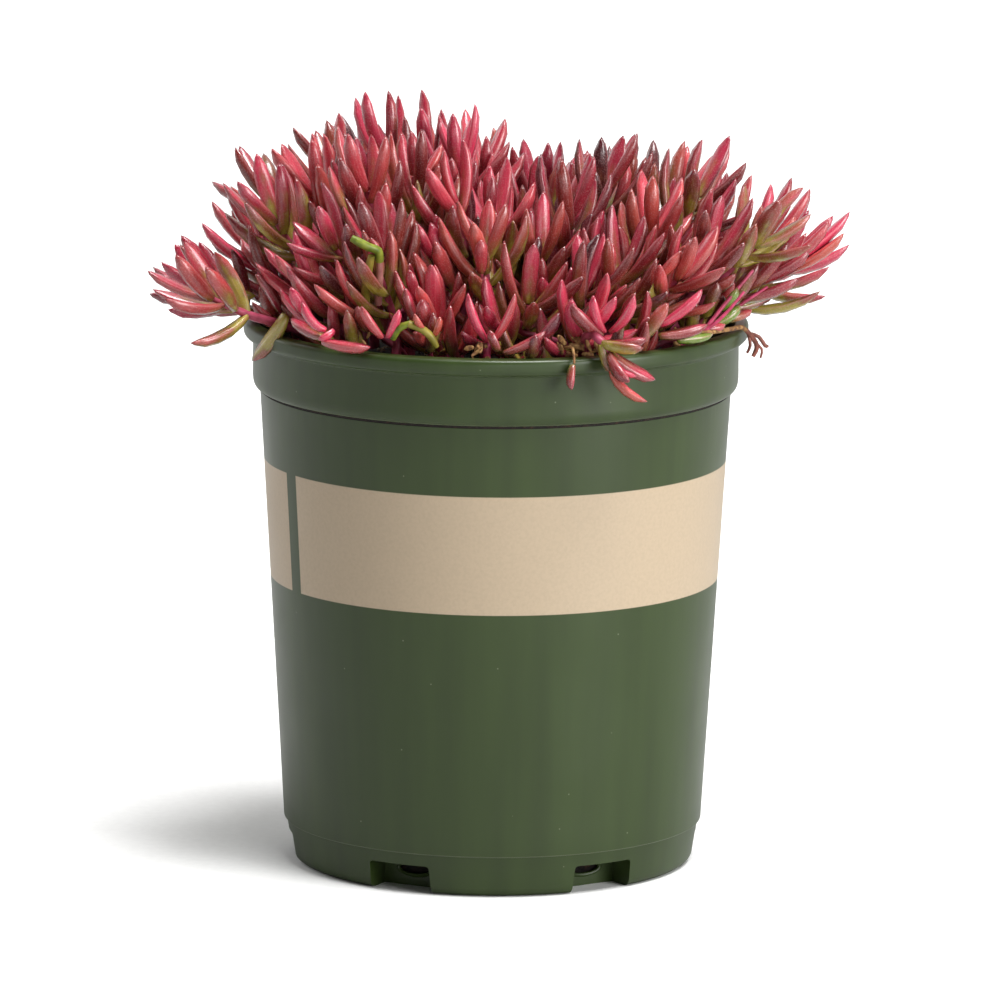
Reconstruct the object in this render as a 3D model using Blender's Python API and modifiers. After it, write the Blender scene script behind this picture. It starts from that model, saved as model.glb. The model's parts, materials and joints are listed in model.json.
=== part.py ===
"""A potted ice plant: finger-leaved succulent shoots in a green plastic nursery pot.

Metres, +Z up, origin at the middle of the pot's underside, the photographed front towards -Y.
The pot is a moulded shell with drain pockets round its foot, the soil fills it, and every
leafy shoot stands in its own hole in the soil. The real plant carries about three times as many
leaves as these solids do, at the same size and out to the same tips.
"""

import math
import random
from collections import namedtuple

import bmesh
import bpy
from mathutils import Matrix, Vector

MM = 0.001
UP = Vector((0.0, 0.0, 1.0))

# The pot: a moulded shell, its outside given from the lip down to the foot
POT_HEIGHT = 179.0 * MM
LIP_RADIUS = 82.5 * MM
LIP_EDGE_RADIUS = 80.8 * MM
LIP_FACE_TOP = 177.2 * MM
LIP_FACE_BOTTOM = 174.8 * MM
LIP_UNDERSIDE = 173.1 * MM
BAND_RADIUS = 79.4 * MM
BAND_BOTTOM = 157.8 * MM
BODY_TOP_RADIUS = 77.0 * MM
BODY_TOP = 156.6 * MM
BODY_BOTTOM_RADIUS = 68.6 * MM
BODY_BOTTOM = 13.7 * MM
FOOT_STEP = 0.9 * MM
FOOT_RADIUS = 66.2 * MM
FOOT_ROUND = 2.4 * MM
WALL = 1.5 * MM
FLOOR = 2.0 * MM
POT_SIDES = 42

# Drain pockets round the foot, each with an oval hole through its back wall
POCKET_COUNT = 6
POCKET_FIRST_DEG = -57.0
POCKET_WIDTH = 21.4 * MM
POCKET_FLARE = 1.06
POCKET_HEIGHT = 9.5 * MM
POCKET_BACK = 55.0 * MM
POCKET_CUT_BELOW = 10.0 * MM
DRAIN_WIDTH = 12.0 * MM
DRAIN_HEIGHT = 4.4 * MM
DRAIN_CENTRE_Z = 5.6 * MM
DRAIN_CUT = 8.0 * MM
DRAIN_SIDES = 12

# The soil keeps clear of the pot by a hair's breadth, and so does each stem in its hole
GAP = 0.3 * MM
MERGE = 0.002 * MM
SOIL_TOP = 167.0 * MM
SOIL_CROWN = 2.0 * MM
ROOT_DEPTH = 14.0 * MM
HOLE_RADIUS = 2.35 * MM
HOLE_SIDES = 6

# The planting: shoots on a sunflower spiral, which grow into one low mat
SEED = 40
SHOOT_COUNT = 49
ROOT_CIRCLE = 66.0 * MM
ROOT_SCATTER = 1.0 * MM
FRONT_SQUEEZE = 0.96
GOLDEN_ANGLE = math.radians(137.508)
STEM_RADIUS = 1.7 * MM
STEM_COLLAR = 1.5 * MM
STEM_TAPER = [1.0, 1.0, 1.0, 0.92, 0.85, 0.5]
# A stem's bend: how much of its length rises straight, how much follows the tuft, and its middle points
STEM_RISE_SHARE = 0.45
STEM_LEAN_SHARE = 0.35
STEM_BEND_AT = (0.35, 0.7)
TUFT_LENGTH = 31.0 * MM
NODE_SPACING = 4.4 * MM

# Leaf pairs of a tuft from the oldest up: length, opening from the stem in degrees, bend
LONGEST_LEAF = 26.0 * MM
TUFT_PAIRS = [
    (24.0 * MM, 62.0, 0.48), (LONGEST_LEAF, 50.0, 0.38), (25.0 * MM, 37.0, 0.27), (22.0 * MM, 24.0, 0.15),
    (16.0 * MM, 10.0, 0.04),
]
# Leaves bend towards their stem's heading and the sky: the sky's share against the stem's
SKYWARD = 1.0
SHORTEST_LIFT = 0.2
# How leaves differ by chance, and how far a leaf gives way at each try for room
OPENING_CHANCE_DEG = 4.0
TURN_CHANCE_DEG = 9.0
GIVE_WAY = 0.65
SHORTEN = 0.035
LENGTH_CHANCE = (0.9, 1.08)
WIDTH_CHANCE = (0.88, 1.08)
BEND_CHANCE = (0.4, 1.5)
LEAF_HALF_WIDTH = 3.0 * MM
LEAF_FLATNESS = 0.8
LEAF_BELLY = 0.5
LEAF_BLUNTNESS = 2.2
LEAF_ROOT_SHARE = 0.42
LEAF_SIDES = 4
LEAF_RINGS = 3
LEAF_ROOT_FREE = 0.36
LEAF_SINK = 0.4 * MM

# Heights of the leaf tips over the lip, from the left of the mat to its right, in millimetres
CREST = [
    (-112, 22), (-96, 36), (-84, 50), (-66, 59), (-48, 66), (-36, 70), (-24, 60), (-10, 67),
    (0, 62), (5, 42), (14, 50), (34, 58), (52, 55), (62, 51), (80, 55), (98, 53), (112, 44),
]
# Share of that height from the front of the mat to its back, in millimetres
DEPTH_SHARE = [(-88, 0.25), (-70, 0.44), (-45, 0.70), (-22, 0.94), (8, 1.0), (50, 0.95), (88, 0.55)]
# How far the mat reaches beyond the roots on each side, and how its edge shoots lean, in degrees
REACH = {"left": 1.93, "right": 1.92, "front": 1.32, "back": 1.50}
LEAN = {"left": 54.0, "right": 48.0, "front": 34.0, "back": 44.0}
# Every other edge shoot lies low over the lip: how far in that starts, its lean and its height
LOW_FROM = 0.74
LOW_LEAN_DEG = 17.0
LOW_HEIGHT = 0.60
HIGH_REACH = 0.86
LEAN_POWER = 1.5
TIP_CHANCE = (-4.0 * MM, 3.0 * MM)
# Shoots also tilt a little to any side, and no tuft starts lower than this
TILT_CHANCE = 0.12
LOWEST_HEAD = POT_HEIGHT - 4.0 * MM

# One sprig at the front has tipped over the lip and hangs there
TRAILING_ROOT = Vector((27.0, -59.0, 0.0)) * MM
TRAILING_HEAD = Vector((34.0, -79.0, 184.5)) * MM
TRAILING_AXIS = Vector((0.60, -0.06, -0.79)).normalized()
TRAILING_PAIRS = [(14.0 * MM, 44.0, 0.05), (18.0 * MM, 24.0, 0.0), (15.0 * MM, 9.0, 0.0)]
TRAILING_TUFT = 9.0 * MM

# Clearance between plant pieces, tested with balls of the piece's own thickness
CLEARANCE = 0.5 * MM
BALLS_PER_LEAF = 11
BALL_SHARE = 0.92
LEAF_TRIES = 18
STEM_TRIES = 12
STEM_LIFT = 1.0 * MM
CELL = 8.0 * MM

Leaf = namedtuple("Leaf", "root along lift length half_width bend")
Stem = namedtuple("Stem", "points radii")
Ball = namedtuple("Ball", "centre radius owner near_root")
Shoot = namedtuple("Shoot", "root axis head stem leaves")


def between(pairs, x):
    """The value at x on the straight lines through the pairs."""
    if x <= pairs[0][0]:
        return pairs[0][1]
    for (x0, y0), (x1, y1) in zip(pairs, pairs[1:]):
        if x <= x1:
            return y0 + (y1 - y0) * (x - x0) / (x1 - x0)
    return pairs[-1][1]


def side_blend(table, x, y):
    """A blend of the table's four sides, by the direction of the point (x, y)."""
    r = math.hypot(x, y) or 1.0
    across = table["right"] if x > 0 else table["left"]
    along = table["back"] if y > 0 else table["front"]
    return (across * x * x + along * y * y) / (r * r)


def mat_top(x, y):
    """Height of the leaf tips over the floor at a place on the plan."""
    return POT_HEIGHT + between(CREST, x / MM) * between(DEPTH_SHARE, y / MM) * MM


def soil_height(r):
    """Height of the soil's surface at radius r."""
    return SOIL_TOP + SOIL_CROWN * (1.0 - r / BAND_RADIUS)


# Leaves and stems as plain descriptions, before anything is modelled

def leaf_point(leaf, t):
    """A point on the leaf's curved middle line, t running from root to tip."""
    return leaf.root + leaf.along * (leaf.length * t) + leaf.lift * (leaf.length * leaf.bend * t * t)


def leaf_fullness(t):
    """Half width at t as a share of the widest: plump below the middle, drawn to a point."""
    if t < LEAF_BELLY:
        return LEAF_ROOT_SHARE + (1.0 - LEAF_ROOT_SHARE) * math.sin(0.5 * math.pi * t / LEAF_BELLY)
    return 1.0 - ((t - LEAF_BELLY) / (1.0 - LEAF_BELLY)) ** LEAF_BLUNTNESS


def leaf_balls(leaf, owner):
    """Balls along a leaf, for the clearance test."""
    balls = []
    for i in range(1, BALLS_PER_LEAF + 1):
        t = i / BALLS_PER_LEAF
        radius = BALL_SHARE * leaf.half_width * max(leaf_fullness(t), 0.15)
        balls.append(Ball(leaf_point(leaf, t), radius, owner, t < LEAF_ROOT_FREE))
    return balls


def stem_balls(stem, owner):
    """Balls along a stem above the soil, for the clearance test."""
    balls = []
    for start, end, radius in zip(stem.points[1:], stem.points[2:], stem.radii[1:]):
        steps = max(1, round((end - start).length / (2.0 * MM)))
        for i in range(steps):
            balls.append(Ball(start.lerp(end, (i + 0.5) / steps), radius, owner, True))
    return balls


def hits_rim(ball):
    """Whether a ball touches the pot's rim or the wall below it."""
    r = math.hypot(ball.centre.x, ball.centre.y)
    reach = ball.radius + CLEARANCE
    return BAND_RADIUS - WALL - reach < r < LIP_RADIUS + reach and ball.centre.z < POT_HEIGHT + reach


def hits_soil(ball):
    """Whether a ball touches the soil."""
    r = math.hypot(ball.centre.x, ball.centre.y)
    return r < BAND_RADIUS and ball.centre.z < soil_height(r) + ball.radius + CLEARANCE


class Room:
    """The balls of every piece placed so far, sorted into cells of space."""

    def __init__(self):
        self.cells = {}

    def cell(self, point):
        return tuple(math.floor(value / CELL) for value in point)

    def add(self, balls):
        for ball in balls:
            self.cells.setdefault(self.cell(ball.centre), []).append(ball)

    def fits(self, balls, rooted=False):
        """Whether these balls clear the pot, the soil if not rooted in it, and all placed before."""
        return not any(
            hits_rim(ball) or self.hits(ball) or (hits_soil(ball) and not rooted) for ball in balls
        )

    def hits(self, ball):
        i, j, k = self.cell(ball.centre)
        for index in ((i + a, j + b, k + c) for a in (-1, 0, 1) for b in (-1, 0, 1) for c in (-1, 0, 1)):
            for other in self.cells.get(index, ()):
                if other.owner == ball.owner and (ball.near_root or other.near_root):
                    continue
                if (other.centre - ball.centre).length < other.radius + ball.radius + CLEARANCE:
                    return True
        return False


def grow_stem(root, head, axis, tuft):
    """A stem that rises straight from its hole, then bends to carry its tuft along the axis."""
    foot = Vector((root.x, root.y, SOIL_TOP - ROOT_DEPTH))
    collar = Vector((root.x, root.y, soil_height(root.length) + STEM_COLLAR))
    rise = (head - collar).length
    low = collar + UP * (STEM_RISE_SHARE * rise)
    high = head - axis * (STEM_LEAN_SHARE * rise)
    points = [foot, collar]
    for t in STEM_BEND_AT:
        s = 1.0 - t
        points.append(s**3 * collar + 3 * s * s * t * low + 3 * s * t * t * high + t**3 * head)
    points += [head, head + axis * tuft]
    return Stem(points, [STEM_RADIUS * taper for taper in STEM_TAPER])


def leaf_tries(draw, root, axis, side, length, opening, bend):
    """The leaf as wished for, then turned, closed up or shortened a little at a time."""
    slenderness = 0.75 + 0.25 * length / LONGEST_LEAF
    for attempt in range(LEAF_TRIES):
        give = 1.0 + GIVE_WAY * attempt
        angle = math.radians(opening + draw.uniform(-1, 1) * OPENING_CHANCE_DEG * give)
        turn = Matrix.Rotation(math.radians(draw.uniform(-1, 1) * TURN_CHANCE_DEG * give), 3, axis)
        out = turn @ side
        along = axis * math.cos(angle) + out * math.sin(angle)
        goal = (axis + UP * SKYWARD).normalized()
        lift = goal - along * goal.dot(along)
        if lift.length < SHORTEST_LIFT:
            lift = axis * math.sin(angle) - out * math.cos(angle)
        size = length * draw.uniform(*LENGTH_CHANCE) * (1.0 - SHORTEN * attempt)
        half_width = LEAF_HALF_WIDTH * slenderness * draw.uniform(*WIDTH_CHANCE)
        curve = bend * draw.uniform(*BEND_CHANCE)
        yield Leaf(root - along * LEAF_SINK, along, lift.normalized(), size, half_width, curve)


def grow_tuft(draw, room, owner, base, axis, pairs, spin):
    """Leaves in crossed pairs up a stem, each kept only where there is room for it."""
    leaves = []
    across = axis.orthogonal().normalized()
    for level, (length, opening, bend) in enumerate(pairs):
        node = base + axis * (level * NODE_SPACING)
        for half in (0, 1):
            turn = Matrix.Rotation(spin + level * math.radians(90) + half * math.pi, 3, axis)
            for leaf in leaf_tries(draw, node, axis, turn @ across, length, opening, bend):
                balls = leaf_balls(leaf, owner)
                if room.fits(balls):
                    room.add(balls)
                    leaves.append(leaf)
                    break
    return leaves


def plan_shoot(draw, index):
    """Where one shoot stands, how it leans and where its tuft begins."""
    share = math.sqrt((index + 0.5) / SHOOT_COUNT)
    angle = index * GOLDEN_ANGLE
    x = ROOT_CIRCLE * share * math.cos(angle) + draw.uniform(-1, 1) * ROOT_SCATTER
    y = ROOT_CIRCLE * share * math.sin(angle) + draw.uniform(-1, 1) * ROOT_SCATTER
    root = Vector((x, y * FRONT_SQUEEZE if y < 0 else y, 0.0))
    low = share > LOW_FROM and index % 2 == 0
    spread = 1.0 + (side_blend(REACH, x, y) - 1.0) * math.sqrt(share)
    tip = root * (spread if low or share < LOW_FROM else HIGH_REACH * spread)
    height = (mat_top(tip.x, tip.y) - POT_HEIGHT) * (LOW_HEIGHT if low else 1.0)
    tip.z = POT_HEIGHT + height + draw.uniform(*TIP_CHANCE)
    lean = math.radians(side_blend(LEAN, x, y) * share**LEAN_POWER + (LOW_LEAN_DEG if low else 0.0))
    tilt = Vector((draw.uniform(-1, 1), draw.uniform(-1, 1), 0.0)) * TILT_CHANCE
    axis = (root.normalized() * math.sin(lean) + UP * math.cos(lean) + tilt).normalized()
    head = tip - axis * TUFT_LENGTH
    head.z = max(head.z, LOWEST_HEAD)
    return root, axis, head


def plan_plant():
    """Every shoot of the plant: its root on the plan, its stem and its leaves."""
    draw = random.Random(SEED)
    room = Room()
    tuft = NODE_SPACING * (len(TUFT_PAIRS) - 0.5)
    hanging = grow_stem(TRAILING_ROOT, TRAILING_HEAD, TRAILING_AXIS, TRAILING_TUFT)
    room.add(stem_balls(hanging, SHOOT_COUNT))
    shoots = []
    for i in range(SHOOT_COUNT):
        root, axis, head = plan_shoot(draw, i)
        stem = grow_stem(root, head, axis, tuft)
        for _ in range(STEM_TRIES):
            if room.fits(stem_balls(stem, i), rooted=True):
                break
            head = head + UP * STEM_LIFT
            stem = grow_stem(root, head, axis, tuft)
        room.add(stem_balls(stem, i))
        shoots.append(Shoot(root, axis, head, stem, []))
    shoots.append(Shoot(TRAILING_ROOT, TRAILING_AXIS, TRAILING_HEAD, hanging, []))
    for i, shoot in enumerate(shoots):
        pairs = TRAILING_PAIRS if i == SHOOT_COUNT else TUFT_PAIRS
        spin = draw.uniform(0.0, math.pi)
        shoot.leaves.extend(grow_tuft(draw, room, i, shoot.head, shoot.axis, pairs, spin))
    return shoots


# Modelling helpers

def clear_scene():
    for obj in list(bpy.data.objects):
        bpy.data.objects.remove(obj, do_unlink=True)


def new_collection(name):
    collection = bpy.data.collections.new(name)
    bpy.context.scene.collection.children.link(collection)
    return collection


def principled(name, colour, roughness):
    """A plain Principled material; no colour here has any metal in it."""
    material = bpy.data.materials.new(name)
    material.use_nodes = True
    shader = material.node_tree.nodes["Principled BSDF"]
    shader.inputs["Base Color"].default_value = (*colour, 1.0)
    shader.inputs["Roughness"].default_value = roughness
    shader.inputs["Metallic"].default_value = 0.0
    return material


def mesh_object(name, mesh, collection):
    obj = bpy.data.objects.new(name, mesh)
    collection.objects.link(obj)
    return obj


def bmesh_object(name, bm, collection):
    """An object of what a bmesh holds, which is then freed."""
    mesh = bpy.data.meshes.new(name)
    bm.to_mesh(mesh)
    bm.free()
    return mesh_object(name, mesh, collection)


def hide_as_tool(obj):
    """Mark an object as a cutter, which is no part of the plant."""
    obj.hide_render = True
    obj.display_type = "WIRE"


def evaluated_mesh(obj):
    """The object's mesh with its modifiers applied, its doubled points merged."""
    depsgraph = bpy.context.evaluated_depsgraph_get()
    mesh = bpy.data.meshes.new_from_object(obj.evaluated_get(depsgraph))
    bm = bmesh.new()
    bm.from_mesh(mesh)
    bmesh.ops.remove_doubles(bm, verts=bm.verts, dist=MERGE)
    bmesh.ops.dissolve_degenerate(bm, edges=bm.edges, dist=MERGE)
    bm.to_mesh(mesh)
    bm.free()
    return mesh


def keep_outer_skin(mesh):
    """Drop every loose island but the largest: sealed hollows between fused roots, and scraps."""
    bm = bmesh.new()
    bm.from_mesh(mesh)
    waiting = set(bm.faces)
    islands = []
    while waiting:
        island = []
        border = [waiting.pop()]
        while border:
            face = border.pop()
            island.append(face)
            linked = {other for edge in face.edges for other in edge.link_faces} & waiting
            waiting -= linked
            border.extend(linked)
        islands.append(island)
    islands.sort(key=len)
    for island in islands[:-1]:
        bmesh.ops.delete(bm, geom=island, context="FACES")
    bm.to_mesh(mesh)
    bm.free()


def apply_modifiers(obj):
    """Replace the object's mesh by what its modifiers make of it."""
    mesh = evaluated_mesh(obj)
    obj.modifiers.clear()
    obj.data = mesh


def turned(name, profile, collection):
    """A solid of revolution from (radius, height) points that run down its outer side."""
    mesh = bpy.data.meshes.new(name)
    edges = [(i, i + 1) for i in range(len(profile) - 1)]
    mesh.from_pydata([(r, 0.0, z) for r, z in profile], edges, [])
    obj = mesh_object(name, mesh, collection)
    screw = obj.modifiers.new("Turn", "SCREW")
    screw.steps = POT_SIDES
    screw.render_steps = POT_SIDES
    screw.use_merge_vertices = True
    screw.merge_threshold = 0.0001
    return obj


def subtract(obj, cutters):
    """Cut the cutters, an object or a collection, out of the object, and apply the cut."""
    cut = obj.modifiers.new("Cut", "BOOLEAN")
    cut.operation = "DIFFERENCE"
    if isinstance(cutters, bpy.types.Collection):
        cut.operand_type = "COLLECTION"
        cut.collection = cutters
    else:
        cut.object = cutters
    apply_modifiers(obj)


def remove_with_objects(collection):
    for obj in list(collection.objects):
        bpy.data.objects.remove(obj, do_unlink=True)
    bpy.data.collections.remove(collection)


# The pot and its soil

def pocket_block(name, grow, collection, index):
    """The block of one drain pocket, with its sides and its roof moved out by grow."""
    depth = LIP_RADIUS - POCKET_BACK + grow
    height = POCKET_HEIGHT + grow
    bm = bmesh.new()
    bmesh.ops.create_cube(bm, size=1.0)
    for v in bm.verts:
        flare = POCKET_FLARE if v.co.z < 0 else 1.0
        v.co = Vector((
            POCKET_BACK - grow + (v.co.x + 0.5) * depth,
            v.co.y * (POCKET_WIDTH * flare + 2.0 * grow),
            (v.co.z + 0.5) * (height + POCKET_CUT_BELOW) - POCKET_CUT_BELOW,
        ))
    obj = bmesh_object(name, bm, collection)
    obj.rotation_euler.z = math.radians(POCKET_FIRST_DEG + index * 360.0 / POCKET_COUNT)
    hide_as_tool(obj)
    return obj


def drain_hole(collection, index):
    """An oval bar that cuts the hole through one pocket's back wall."""
    angle = math.radians(POCKET_FIRST_DEG + index * 360.0 / POCKET_COUNT)
    bm = bmesh.new()
    bmesh.ops.create_cone(bm, cap_ends=True, segments=DRAIN_SIDES, radius1=0.5, radius2=0.5, depth=DRAIN_CUT)
    place = (
        Matrix.Rotation(angle, 4, "Z")
        @ Matrix.Translation((POCKET_BACK, 0.0, DRAIN_CENTRE_Z))
        @ Matrix.Rotation(math.radians(90), 4, "Y")
        @ Matrix.Diagonal((DRAIN_HEIGHT, DRAIN_WIDTH, 1.0, 1.0))
    )
    bmesh.ops.transform(bm, matrix=place, verts=bm.verts)
    hide_as_tool(bmesh_object(f"drain_cutter_{index + 1}", bm, collection))


def cavity(name, top, crown, gap, collection):
    """The pot's inside up to a height, drawn in by gap from the walls, floor and pockets."""
    side = WALL + gap
    profile = [
        (0.0, top + crown),
        (BAND_RADIUS - side, top),
        (BAND_RADIUS - side, BAND_BOTTOM),
        (BODY_TOP_RADIUS - side, BODY_TOP - WALL),
        (BODY_BOTTOM_RADIUS - side, BODY_BOTTOM),
        (FOOT_RADIUS - side, FLOOR + gap),
        (0.0, FLOOR + gap),
    ]
    obj = turned(name, profile, collection)
    blocks = new_collection(f"{name}_blocks")
    for i in range(POCKET_COUNT):
        pocket_block(f"{name}_block_{i + 1}", side, blocks, i)
    subtract(obj, blocks)
    remove_with_objects(blocks)
    return obj


def make_pot(parts, cutters, material):
    """The moulded pot: turned outside, hollow inside, pockets and drain holes at the foot."""
    profile = [
        (0.0, POT_HEIGHT),
        (LIP_EDGE_RADIUS, POT_HEIGHT),
        (LIP_RADIUS, LIP_FACE_TOP),
        (LIP_RADIUS, LIP_FACE_BOTTOM),
        (BAND_RADIUS, LIP_UNDERSIDE),
        (BAND_RADIUS, BAND_BOTTOM),
        (BODY_TOP_RADIUS, BODY_TOP),
        (BODY_BOTTOM_RADIUS, BODY_BOTTOM),
        (BODY_BOTTOM_RADIUS - FOOT_STEP, BODY_BOTTOM - 0.2 * MM),
        (FOOT_RADIUS, FOOT_ROUND),
        (FOOT_RADIUS - FOOT_ROUND, 0.0),
        (0.0, 0.0),
    ]
    pot = turned("pot", profile, parts)
    inside = cavity("pot_inside", POT_HEIGHT + LIP_RADIUS / 10.0, 0.0, 0.0, cutters)
    hide_as_tool(inside)
    subtract(pot, inside)
    pockets = new_collection("pocket_cutters")
    for i in range(POCKET_COUNT):
        pocket_block(f"pocket_cutter_{i + 1}", 0.0, pockets, i)
        drain_hole(pockets, i)
    subtract(pot, pockets)
    remove_with_objects(pockets)
    pot.data.materials.append(material)
    return pot


def make_soil(parts, shoots, material):
    """The soil plug, with a plain hole for each stem."""
    soil = cavity("soil", SOIL_TOP, SOIL_CROWN, GAP, parts)
    holes = new_collection("hole_cutters")
    bottom = SOIL_TOP - ROOT_DEPTH - GAP
    depth = ROOT_DEPTH + 2.0 * SOIL_CROWN + GAP
    for i, shoot in enumerate(shoots):
        bm = bmesh.new()
        bmesh.ops.create_cone(
            bm, cap_ends=True, segments=HOLE_SIDES, radius1=HOLE_RADIUS, radius2=HOLE_RADIUS,
            depth=depth, matrix=Matrix.Translation(shoot.root + Vector((0, 0, bottom + depth / 2))),
        )
        hide_as_tool(bmesh_object(f"hole_cutter_{i + 1}", bm, holes))
    subtract(soil, holes)
    remove_with_objects(holes)
    soil.data.materials.append(material)
    return soil


# The shoots

def stem_mesh(name, stem):
    """A stem as a bevelled curve made a mesh, its caps welded on."""
    curve = bpy.data.curves.new(name, "CURVE")
    curve.dimensions = "3D"
    curve.bevel_depth = 1.0
    curve.bevel_resolution = 0
    curve.use_fill_caps = True
    spline = curve.splines.new("POLY")
    spline.points.add(len(stem.points) - 1)
    for target, point, radius in zip(spline.points, stem.points, stem.radii):
        target.co = (*point, 1.0)
        target.radius = radius
    obj = bpy.data.objects.new(name, curve)
    bpy.context.scene.collection.objects.link(obj)
    mesh = evaluated_mesh(obj)
    bpy.data.objects.remove(obj, do_unlink=True)
    return mesh


def leaf_object(name, leaf, collection):
    """A leaf: a coarse ball drawn out along the leaf's line to its spindle shape."""
    side = leaf.along.cross(leaf.lift)
    bm = bmesh.new()
    bmesh.ops.create_uvsphere(bm, u_segments=LEAF_SIDES, v_segments=LEAF_RINGS, radius=1.0)
    for v in bm.verts:
        t = 0.5 * (1.0 - v.co.z)
        around = Vector((v.co.x, v.co.y))
        if around.length > 0.001:
            around.normalize()
        heading = (leaf.along + leaf.lift * (2.0 * leaf.bend * t)).normalized()
        half_width = leaf.half_width * leaf_fullness(t)
        across = side * (around.x * half_width)
        through = side.cross(heading) * (around.y * half_width * LEAF_FLATNESS)
        v.co = leaf_point(leaf, t) + across + through
    return bmesh_object(name, bm, collection)


def make_shoot(index, shoot, parts, material):
    """One shoot as one solid: its stem and leaves joined in one union."""
    name = f"shoot_{index + 1:02d}"
    obj = mesh_object(name, stem_mesh(name, shoot.stem), parts)
    growth = new_collection(f"{name}_growth")
    for i, leaf in enumerate(shoot.leaves):
        leaf_object(f"{name}_leaf_{i + 1}", leaf, growth)
    union = obj.modifiers.new("Grow together", "BOOLEAN")
    union.operation = "UNION"
    union.operand_type = "COLLECTION"
    union.collection = growth
    apply_modifiers(obj)
    keep_outer_skin(obj.data)
    remove_with_objects(growth)
    obj.data.materials.clear()
    obj.data.materials.append(material)
    return obj


def main():
    clear_scene()
    parts = new_collection("potted_ice_plant")
    cutters = new_collection("cutters")
    green = principled("green_pot_plastic", (0.055, 0.075, 0.035), 0.35)
    earth = principled("potting_soil", (0.030, 0.018, 0.010), 0.9)
    tints = [
        principled("crimson_leaf", (0.40, 0.06, 0.07), 0.35),
        principled("rose_leaf", (0.55, 0.17, 0.18), 0.35),
        principled("wine_leaf", (0.14, 0.02, 0.03), 0.35),
        principled("olive_leaf", (0.20, 0.11, 0.04), 0.35),
    ]
    shoots = plan_plant()
    make_pot(parts, cutters, green)
    make_soil(parts, shoots, earth)
    for i, shoot in enumerate(shoots):
        make_shoot(i, shoot, parts, tints[i % len(tints)])
    remove_with_objects(cutters)
    for obj in parts.objects:
        obj.data.shade_smooth()
        obj.data.set_sharp_from_angle(angle=math.radians(40))


main()
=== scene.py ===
"""The looks of a potted ice plant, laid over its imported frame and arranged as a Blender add-on.

Metres, +Z up, the photographed front towards -Y. Run as a script: the frame is loaded first, each
operator makes one piece or a group of like pieces, and the stage comes last. The planting rule is
the solids' own, so the main stems and leaves lie on the frame's nodes; the rest of the foliage is
then filled in between them by the same rule, with its own seed.
"""

import json
import math
import random
from collections import namedtuple

import bmesh
import bpy
from bpy.props import FloatProperty, FloatVectorProperty, IntProperty, PointerProperty
from mathutils import Matrix, Vector, noise

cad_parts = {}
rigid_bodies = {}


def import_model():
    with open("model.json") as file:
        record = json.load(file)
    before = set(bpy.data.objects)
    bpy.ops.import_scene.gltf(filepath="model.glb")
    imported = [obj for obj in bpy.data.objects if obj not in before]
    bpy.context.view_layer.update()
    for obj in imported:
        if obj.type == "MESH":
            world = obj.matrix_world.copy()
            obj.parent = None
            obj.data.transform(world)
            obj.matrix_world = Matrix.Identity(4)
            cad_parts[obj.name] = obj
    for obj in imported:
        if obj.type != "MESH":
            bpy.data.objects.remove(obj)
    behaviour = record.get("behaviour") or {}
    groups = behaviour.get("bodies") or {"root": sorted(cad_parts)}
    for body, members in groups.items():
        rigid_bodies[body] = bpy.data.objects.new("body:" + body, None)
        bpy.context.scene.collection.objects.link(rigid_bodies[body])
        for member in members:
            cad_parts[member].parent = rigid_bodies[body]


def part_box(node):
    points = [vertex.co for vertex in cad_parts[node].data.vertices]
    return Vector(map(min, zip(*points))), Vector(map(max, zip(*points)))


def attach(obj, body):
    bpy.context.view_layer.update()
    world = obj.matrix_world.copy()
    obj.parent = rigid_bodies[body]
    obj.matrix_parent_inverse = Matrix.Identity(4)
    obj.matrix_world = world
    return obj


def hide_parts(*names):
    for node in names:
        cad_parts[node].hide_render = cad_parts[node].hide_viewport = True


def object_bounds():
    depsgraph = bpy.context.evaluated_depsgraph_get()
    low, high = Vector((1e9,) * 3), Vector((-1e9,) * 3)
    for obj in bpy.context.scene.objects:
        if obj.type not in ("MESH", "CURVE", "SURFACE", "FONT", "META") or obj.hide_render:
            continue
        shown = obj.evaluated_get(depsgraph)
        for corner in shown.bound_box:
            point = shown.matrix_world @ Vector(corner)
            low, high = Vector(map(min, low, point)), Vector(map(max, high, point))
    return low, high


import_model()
CAD_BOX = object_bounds()

bl_info = {
    "name": "Potted ice plant",
    "version": (1, 0, 0),
    "blender": (4, 5, 0),
    "location": "3D View > Sidebar > Ice plant",
    "description": "Makes a potted ice plant, piece by piece, over its packed frame",
    "category": "Add Mesh",
}

MM = 0.001
UP = Vector((0.0, 0.0, 1.0))

# The pot: a moulded shell, its outside given from the lip down to the foot
POT_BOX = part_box("pot")
POT_HEIGHT = round(POT_BOX[1].z, 4)
LIP_RADIUS = round(POT_BOX[1].x, 4)
LIP_UNDERSIDE = 173.1 * MM
BAND_RADIUS = 79.4 * MM
BAND_BOTTOM = 156.4 * MM
BODY_TOP_RADIUS = 77.0 * MM
BODY_BOTTOM_RADIUS = 68.6 * MM
BODY_BOTTOM = 13.7 * MM
FOOT_STEP = 0.9 * MM
FOOT_RADIUS = 66.2 * MM
FLOOR = 2.0 * MM
WALL = 1.5 * MM
# Steps of a rounded corner, the longest step up a straight wall, and the angle of a sharp edge
BEND_STEPS = 6
WALL_STEP = 9.0 * MM
SHARP_FROM = math.radians(32)
# How pale the plastic turns under the painted highlight along its edges at the foot and under band and lip
EDGE_HIGHLIGHT_SHARE = 0.30
# Width of the green at the lip's outer edge, and how far down the crown is black: inner layer and painted
# shade
CROWN_GREEN = 0.9 * MM
CROWN_DEPTH = 0.7 * MM

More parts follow.
